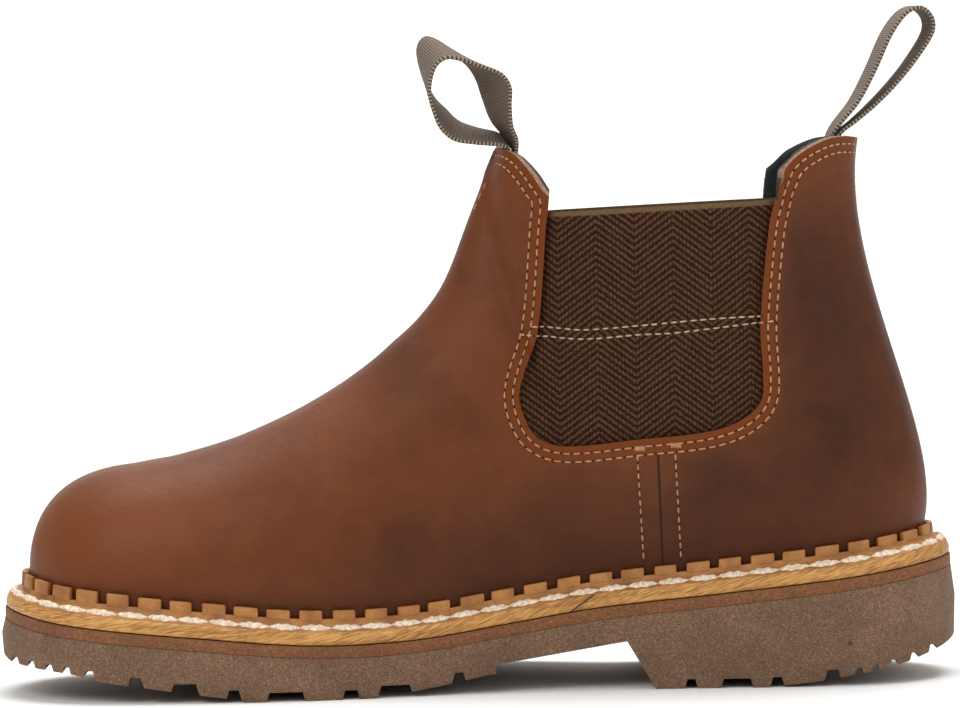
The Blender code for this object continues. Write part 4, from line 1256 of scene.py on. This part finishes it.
def makeWeltStitches():
    # each stitch is a lens of two plies twisted together
    w = welt
    count = round(ribLength / w["stitchPitch"])
    pitch = ribLength / count
    bm = bmesh.new()
    inset = w["edgeInset"] + w["edgeDraft"] + 1.75 * mm
    for i in range(count):
        made = bmesh.ops.create_uvsphere(bm, u_segments=14, v_segments=26, radius=1.0)["verts"]
        phase = random.uniform(0, math.tau)
        middle = (i + 0.5) * pitch + random.uniform(-0.25, 0.25) * mm
        skew = random.uniform(-0.12, 0.12)
        for vert in made:
            along = vert.co.z
            angle = math.atan2(vert.co.y, vert.co.x)
            body = max(1 - abs(along) ** 2.2, 0.0) ** 0.7
            twist = 1 + 0.15 * math.cos(2 * angle + 11 * along + phase)
            wide = body * twist * math.cos(angle) * w["stitchWide"] / 2
            high = body * twist * math.sin(angle) * w["stitchHigh"] / 2
            vert.co = (middle + along * pitch * 0.53, inset + wide + skew * along * mm,
                       w["stitchRise"] + wide * 0.42 + high - along * 0.2 * mm)
    bend(bm, roundTheSole)
    addPiece("welt_stitches", bm, [creamThread], merge=0, smoothAngle=80)


def layerRing(bm, levels, columns):
    # side faces through levels, each an inset and a height for every x
    sheet = unitGrid(columns, len(levels) - 1)
    known = np.linspace(0, 1, len(levels))

    def place(flat):
        at = np.interp(flat[:, 0], [0, 1], [0, len(outline)])
        point = readAt(at, wrapSteps, wrapPoints)
        normal = readAt(at, wrapSteps, wrapInward)
        inset = np.interp(flat[:, 1], known, [level[0] for level in levels])
        spot = point + normal * inset[:, None]
        heights = np.array([level[1](spot[:, 0]) for level in levels])
        level = np.rint(flat[:, 1] * (len(levels) - 1)).astype(int)
        return np.column_stack([spot, heights[level, np.arange(len(flat))]])

    bend(sheet, place)
    addTo(bm, sheet)


def layerCap(bm, inset, height, across):
    # rungs from the medial to the lateral side of the outline
    rungs = half // 2
    sheet = unitGrid(rungs, across)
    loop = outline + inward * inset

    def place(flat):
        step = np.rint(flat[:, 0] * rungs).astype(int) * 2
        medial = loop[step]
        lateral = loop[-step % len(loop)]
        share = flat[:, 1:2]
        spot = medial * (1 - share) + lateral * share
        return np.column_stack([spot, height(spot[:, 0])])

    bend(sheet, place)
    addTo(bm, sheet)


tread = {
    "draft": 1.1 * mm,
    "widestAt": 0.45,
    "round": 0.4 * mm,
    "deep": 2.8 * mm,
    "wideGroove": 9.8 * mm,
    "flare": 0.3,
    "channelWide": 4 * mm,
    "channelDeep": 2.5 * mm,
    "channelOffset": 17 * mm,
    "below": 4 * mm,
    "pits": ((94.1, 22.9, 2.0), (110.2, 12.8, 1.6)),     # air bubbles: x, z and size in millimetres
    "worn": 0.35 * mm,          # rounding of every edge
    "columns": len(outline) // 2,
}

# grooves across the tread: along, share of the wide groove, share of the depth
grooves = (
    (0.020, 0.16, 0.65), (0.039, 0.16, 0.65), (0.059, 0.16, 0.65), (0.078, 0.16, 0.65), (0.102, 0.24, 0.80),
    (0.150, 0.32, 1.00), (0.200, 0.69, 1.00), (0.250, 0.30, 1.00), (0.303, 1.00, 1.00), (0.369, 0.36, 1.00),
    (0.414, 0.85, 1.00), (0.479, 0.24, 1.00), (0.717, 0.24, 1.00), (0.764, 0.81, 1.00), (0.805, 0.27, 1.00),
    (0.862, 0.32, 1.00), (0.889, 0.16, 0.65), (0.906, 0.16, 0.65), (0.926, 0.16, 0.65), (0.948, 0.16, 0.65),
    (0.969, 0.16, 0.65),
)
waist = (0.517, 0.652, 0.681)       # front, rear and foot of the heel breast, shares of the length
channels = ((0.070, 0.510), (0.690, 0.950))


def makeOutsole():
    def widest(x):
        return outsoleTop(x) + (treadHeight(x) - outsoleTop(x)) * tread["widestAt"]

    bm = bmesh.new()
    levels = ((tread["draft"], outsoleTop), (0.0, widest), (tread["round"], treadHeight))
    layerRing(bm, levels, tread["columns"])
    layerCap(bm, tread["draft"], outsoleTop, 1)
    layerCap(bm, tread["round"], treadHeight, 1)
    piece = addPiece("crumb_rubber_outsole", bm, [outRubber], ["outsole"], merge=0.05 * mm)
    below = tread["below"]
    breast = [(float(soleX(waist[0])), -below), (float(soleX(waist[0])), sole["archFront"]),
              (float(soleX(waist[1])), sole["archHeight"]), (float(soleX(waist[2])), 0.0),
              (float(soleX(waist[2])), -below)]
    cutWith(piece, straightCutter("waistCut", breast))
    for along, wide, deep in grooves:
        x = float(soleX(along))
        high = float(treadHeight(x)) + deep * tread["deep"]
        low = float(treadHeight(x)) - below
        top = wide * tread["wideGroove"] / 2
        bottom = top + (high - low) * tread["flare"]
        shape = [(x - bottom, low), (x - top, high), (x + top, high), (x + bottom, low)]
        cutWith(piece, straightCutter("grooveCut", shape))
    for side in (-1, 1):
        for start, end in channels:
            cutWith(piece, channelCutter(side, start, end))
    for x, z, size in tread["pits"]:
        y = float(np.interp(x * mm, outline[:half, 0], outline[:half, 1]))
        cutWith(piece, pitCutter((x * mm, y, z * mm), size * mm))
    worn = piece.modifiers.new("wornEdges", "BEVEL")
    worn.width = tread["worn"]
    worn.segments = 2
    worn.limit_method = "ANGLE"
    worn.angle_limit = math.radians(40)
    applyModifiers(piece)
    smoothUpTo(piece.data, 40)


def pitCutter(place, size):
    bm = bmesh.new()
    bmesh.ops.create_icosphere(bm, subdivisions=2, radius=size / 2, matrix=Matrix.Translation(place))
    return makeCutter("pitCut", bm)


def channelCutter(side, start, end):
    inner = axisY + side * tread["channelOffset"]
    outer = inner + side * tread["channelWide"]
    stations = [start, *(row[0] for row in treadLine if start < row[0] < end), end]
    bm = bmesh.new()
    x = float(soleX(start))
    low = float(treadHeight(x)) - tread["below"]
    corners = [(x, inner, low), (x, outer, low), (x, outer, low + tread["below"] + tread["channelDeep"]),
               (x, inner, low + tread["below"] + tread["channelDeep"])]
    face = bm.faces.new([bm.verts.new(c) for c in corners])
    for station in stations[1:]:
        made = bmesh.ops.extrude_face_region(bm, geom=[face])["geom"]
        verts = [v for v in made if isinstance(v, bmesh.types.BMVert)]
        if station != stations[1]:
            bmesh.ops.delete(bm, geom=[face], context="FACES_ONLY")
        face = next(f for f in made if isinstance(f, bmesh.types.BMFace))
        nextX = float(soleX(station))
        rise = float(treadHeight(nextX)) - float(treadHeight(x))
        bmesh.ops.translate(bm, verts=verts, vec=(nextX - x, 0, rise))
        x = nextX
    bmesh.ops.recalc_face_normals(bm, faces=bm.faces)
    return makeCutter("channelCut", bm)


def makeMidsole():
    inset = welt["edgeInset"] - sole["gap"]
    bm = bmesh.new()
    levels = ((inset + 0.3 * mm, midsoleTop), (inset, lambda x: midsoleTop(x) - 0.4 * mm),
              (inset, lambda x: midsoleBottom(x) + 0.3 * mm), (inset + 0.2 * mm, midsoleBottom))
    layerRing(bm, levels, tread["columns"])
    layerCap(bm, inset + 0.3 * mm, midsoleTop, 1)
    layerCap(bm, inset + 0.2 * mm, midsoleBottom, 1)
    addPiece("rubber_midsole", bm, [midRubber], ["midsole"], merge=0.05 * mm)


footbed = {"clear": 1.6 * mm, "high": 4 * mm, "topInset": 0.8 * mm, "topDrop": 0.7 * mm}


def footbedTop(x):
    return insideFloor(x) + footbed["high"]


def makeInsole():
    inset = featherInset + upper["leather"] + footbed["clear"]
    topInset = inset + footbed["topInset"]
    bm = bmesh.new()
    levels = ((topInset, footbedTop), (inset, lambda x: footbedTop(x) - footbed["topDrop"]),
              (inset, insideFloor))
    layerRing(bm, levels, tread["columns"])
    layerCap(bm, topInset, footbedTop, 12)
    layerCap(bm, inset, insideFloor, 1)
    addPiece("felt_footbed", bm, [felt], ["insole"], merge=0.05 * mm)


makeOutsole()
print("outsole moulded")
makeMidsole()
makeInsole()
makeWelt()
makeRib()
makeWeltStitches()
print("welt sewn on")


# Pull loops: rows along the tape, shares of the loop's size from its root, and its lean across

frontLoop = (
    (0.130, -0.300, 0.00, 0.00), (0.150, -0.030, -0.04, 0.02), (0.112, 0.085, -0.22, 0.10),
    (0.052, 0.195, -0.33, 0.13), (0.018, 0.355, -0.44, 0.15), (-0.002, 0.490, -0.54, 0.15),
    (-0.070, 0.597, -0.54, 0.17), (-0.220, 0.690, -0.48, 0.28), (-0.332, 0.748, -0.42, 0.34),
    (-0.438, 0.768, -0.36, 0.36), (-0.510, 0.683, -0.28, 0.31), (-0.510, 0.495, -0.10, 0.24),
    (-0.460, 0.340, -0.02, 0.25), (-0.388, 0.228, 0.05, 0.33), (-0.290, 0.140, 0.05, 0.30),
    (-0.145, 0.098, 0.03, 0.24), (0.000, 0.072, 0.03, 0.19), (0.078, 0.036, 0.03, 0.11),
    (0.104, -0.030, 0.00, 0.02), (0.072, -0.295, 0.00, 0.00),
)
rearLoop = (
    (-0.235, -0.270, 0.00, 0.00), (-0.229, -0.030, 0.00, 0.00), (-0.170, 0.095, -0.04, 0.01),
    (-0.022, 0.280, -0.06, 0.02), (0.110, 0.525, -0.07, 0.02), (0.222, 0.768, -0.07, 0.03),
    (0.335, 0.925, -0.07, 0.03), (0.440, 0.978, -0.07, 0.03), (0.515, 0.938, -0.07, 0.03),
    (0.550, 0.855, -0.07, 0.03), (0.522, 0.750, -0.07, 0.03), (0.390, 0.555, -0.06, 0.02),
    (0.252, 0.392, -0.05, 0.02), (0.110, 0.250, -0.04, 0.01), (-0.030, 0.130, -0.02, 0.00),
    (-0.140, 0.045, 0.00, 0.00), (-0.174, -0.030, 0.00, 0.00), (-0.181, -0.270, 0.00, 0.00),
)


def makeLoop(name, node, wallRow, rows):
    rows = curveThrough(rows, 8)
    centres = np.column_stack([
        soleX(wallRow[1]) + rows[:, 0] * loops["size"],
        np.full(len(rows), axisY),
        wallRow[3] * upper["collarHeight"] + rows[:, 1] * loops["size"],
    ])
    run = np.concatenate([[0.0], np.cumsum(np.linalg.norm(np.diff(centres, axis=0), axis=1))])
    across = np.column_stack([rows[:, 2], np.sqrt(1 - rows[:, 2] ** 2 - rows[:, 3] ** 2), rows[:, 3]])
    known = np.linspace(0, 1, len(rows))
    bm = unitGrid(len(rows) - 1, 10)
    layer = bm.loops.layers.uv.new("tape")
    for face in bm.faces:
        for loop in face.loops:
            loop[layer].uv = (float(np.interp(loop.vert.co.x, known, run)), loop.vert.co.y * loops["wide"])

    def place(flat):
        centre = readAt(flat[:, 0], known, centres)
        lean = readAt(flat[:, 0], known, across)
        return centre + lean * (flat[:, 1:2] - 0.5) * loops["wide"]

    bend(bm, place)
    piece = addPiece(name, bm, [tape], [node], merge=0, turn=False, smoothAngle=60)
    solid = piece.modifiers.new("tapeThickness", "SOLIDIFY")
    solid.thickness = loops["thick"]
    solid.offset = 0.0
    solid.use_quality_normals = True
    softEdge = piece.modifiers.new("softEdge", "BEVEL")
    softEdge.width = loops["softEdge"]
    softEdge.segments = 2
    softEdge.limit_method = "ANGLE"
    softEdge.angle_limit = math.radians(60)
    applyModifiers(piece)
    piece.data.shade_smooth()


makeLoop("front_pull_tape", "pull_loop_front", wall[upper["tabRow"]], frontLoop)
makeLoop("back_pull_tape", "pull_loop_back", wall[-1], rearLoop)
print("pull loops hung")


# Floor, backdrop and light

studio = {
    "floor": "#fafaf9",
    "backdropAt": 2.4,          # behind a camera that looks at the boot from the back
    "curve": 0.8,
    "wide": 12,
    "frontAt": -4,
    "world": 0.40,
    "middle": (0, 0, 0.08),
}

# soft boxes: place, target, size and power
lamps = (
    ("key", (-0.7, -1.1, 1.1), studio["middle"], (0.9, 0.9), 9.0),
    ("fill", (1.1, -0.9, 0.7), studio["middle"], (1.0, 1.0), 4.0),
    ("top", (0.1, 0.3, 1.3), studio["middle"], (1.4, 0.8), 20.0),
    ("paper", (0.0, 1.9, 1.8), (0, 3.1, 0.6), (2.0, 0.6), 30.0),
)


def makeStage():
    bm = unitGrid(2, 24)

    def place(flat):
        x = (flat[:, 0] - 0.5) * studio["wide"]
        share = flat[:, 1]
        turn = np.clip((share - 0.5) / 0.3, 0, 1) * math.pi / 2
        radius = studio["curve"]
        front, back = studio["frontAt"], studio["backdropAt"]
        y = np.where(share < 0.5, front + share / 0.5 * (back - front), back + radius * np.sin(turn))
        z = radius * (1 - np.cos(turn)) + np.clip(share - 0.8, 0, None) * 15
        return np.column_stack([x, y, z])

    bend(bm, place)
    mesh = bpy.data.meshes.new("paper_sweep")
    bm.to_mesh(mesh)
    bm.free()
    mesh.shade_smooth()
    paper, _, _ = newMaterial("whitePaper", Base_Color=hexColour(studio["floor"]), Roughness=0.9)
    mesh.materials.append(paper)
    sweep = bpy.data.objects.new("paper_sweep", mesh)
    bpy.context.scene.collection.objects.link(sweep)


def softBox(name, place, target, size, power):
    data = bpy.data.lights.new(name, "AREA")
    data.shape = "RECTANGLE"
    data.size, data.size_y = size
    data.energy = power
    lamp = bpy.data.objects.new(name, data)
    lamp.location = place
    lamp.rotation_euler = (Vector(target) - Vector(place)).to_track_quat("-Z", "Y").to_euler()
    bpy.context.scene.collection.objects.link(lamp)


def makeLight():
    world = bpy.data.worlds.new("studio")
    world.use_nodes = True
    shade = world.node_tree.nodes["Background"]
    shade.inputs["Color"].default_value = (1, 1, 1, 1)
    shade.inputs["Strength"].default_value = studio["world"]
    bpy.context.scene.world = world
    for lamp in lamps:
        softBox(*lamp)
    bpy.context.scene.view_settings.view_transform = "Standard"
    bpy.context.scene.view_settings.look = "None"


makeStage()
makeLight()
print("stage lit")
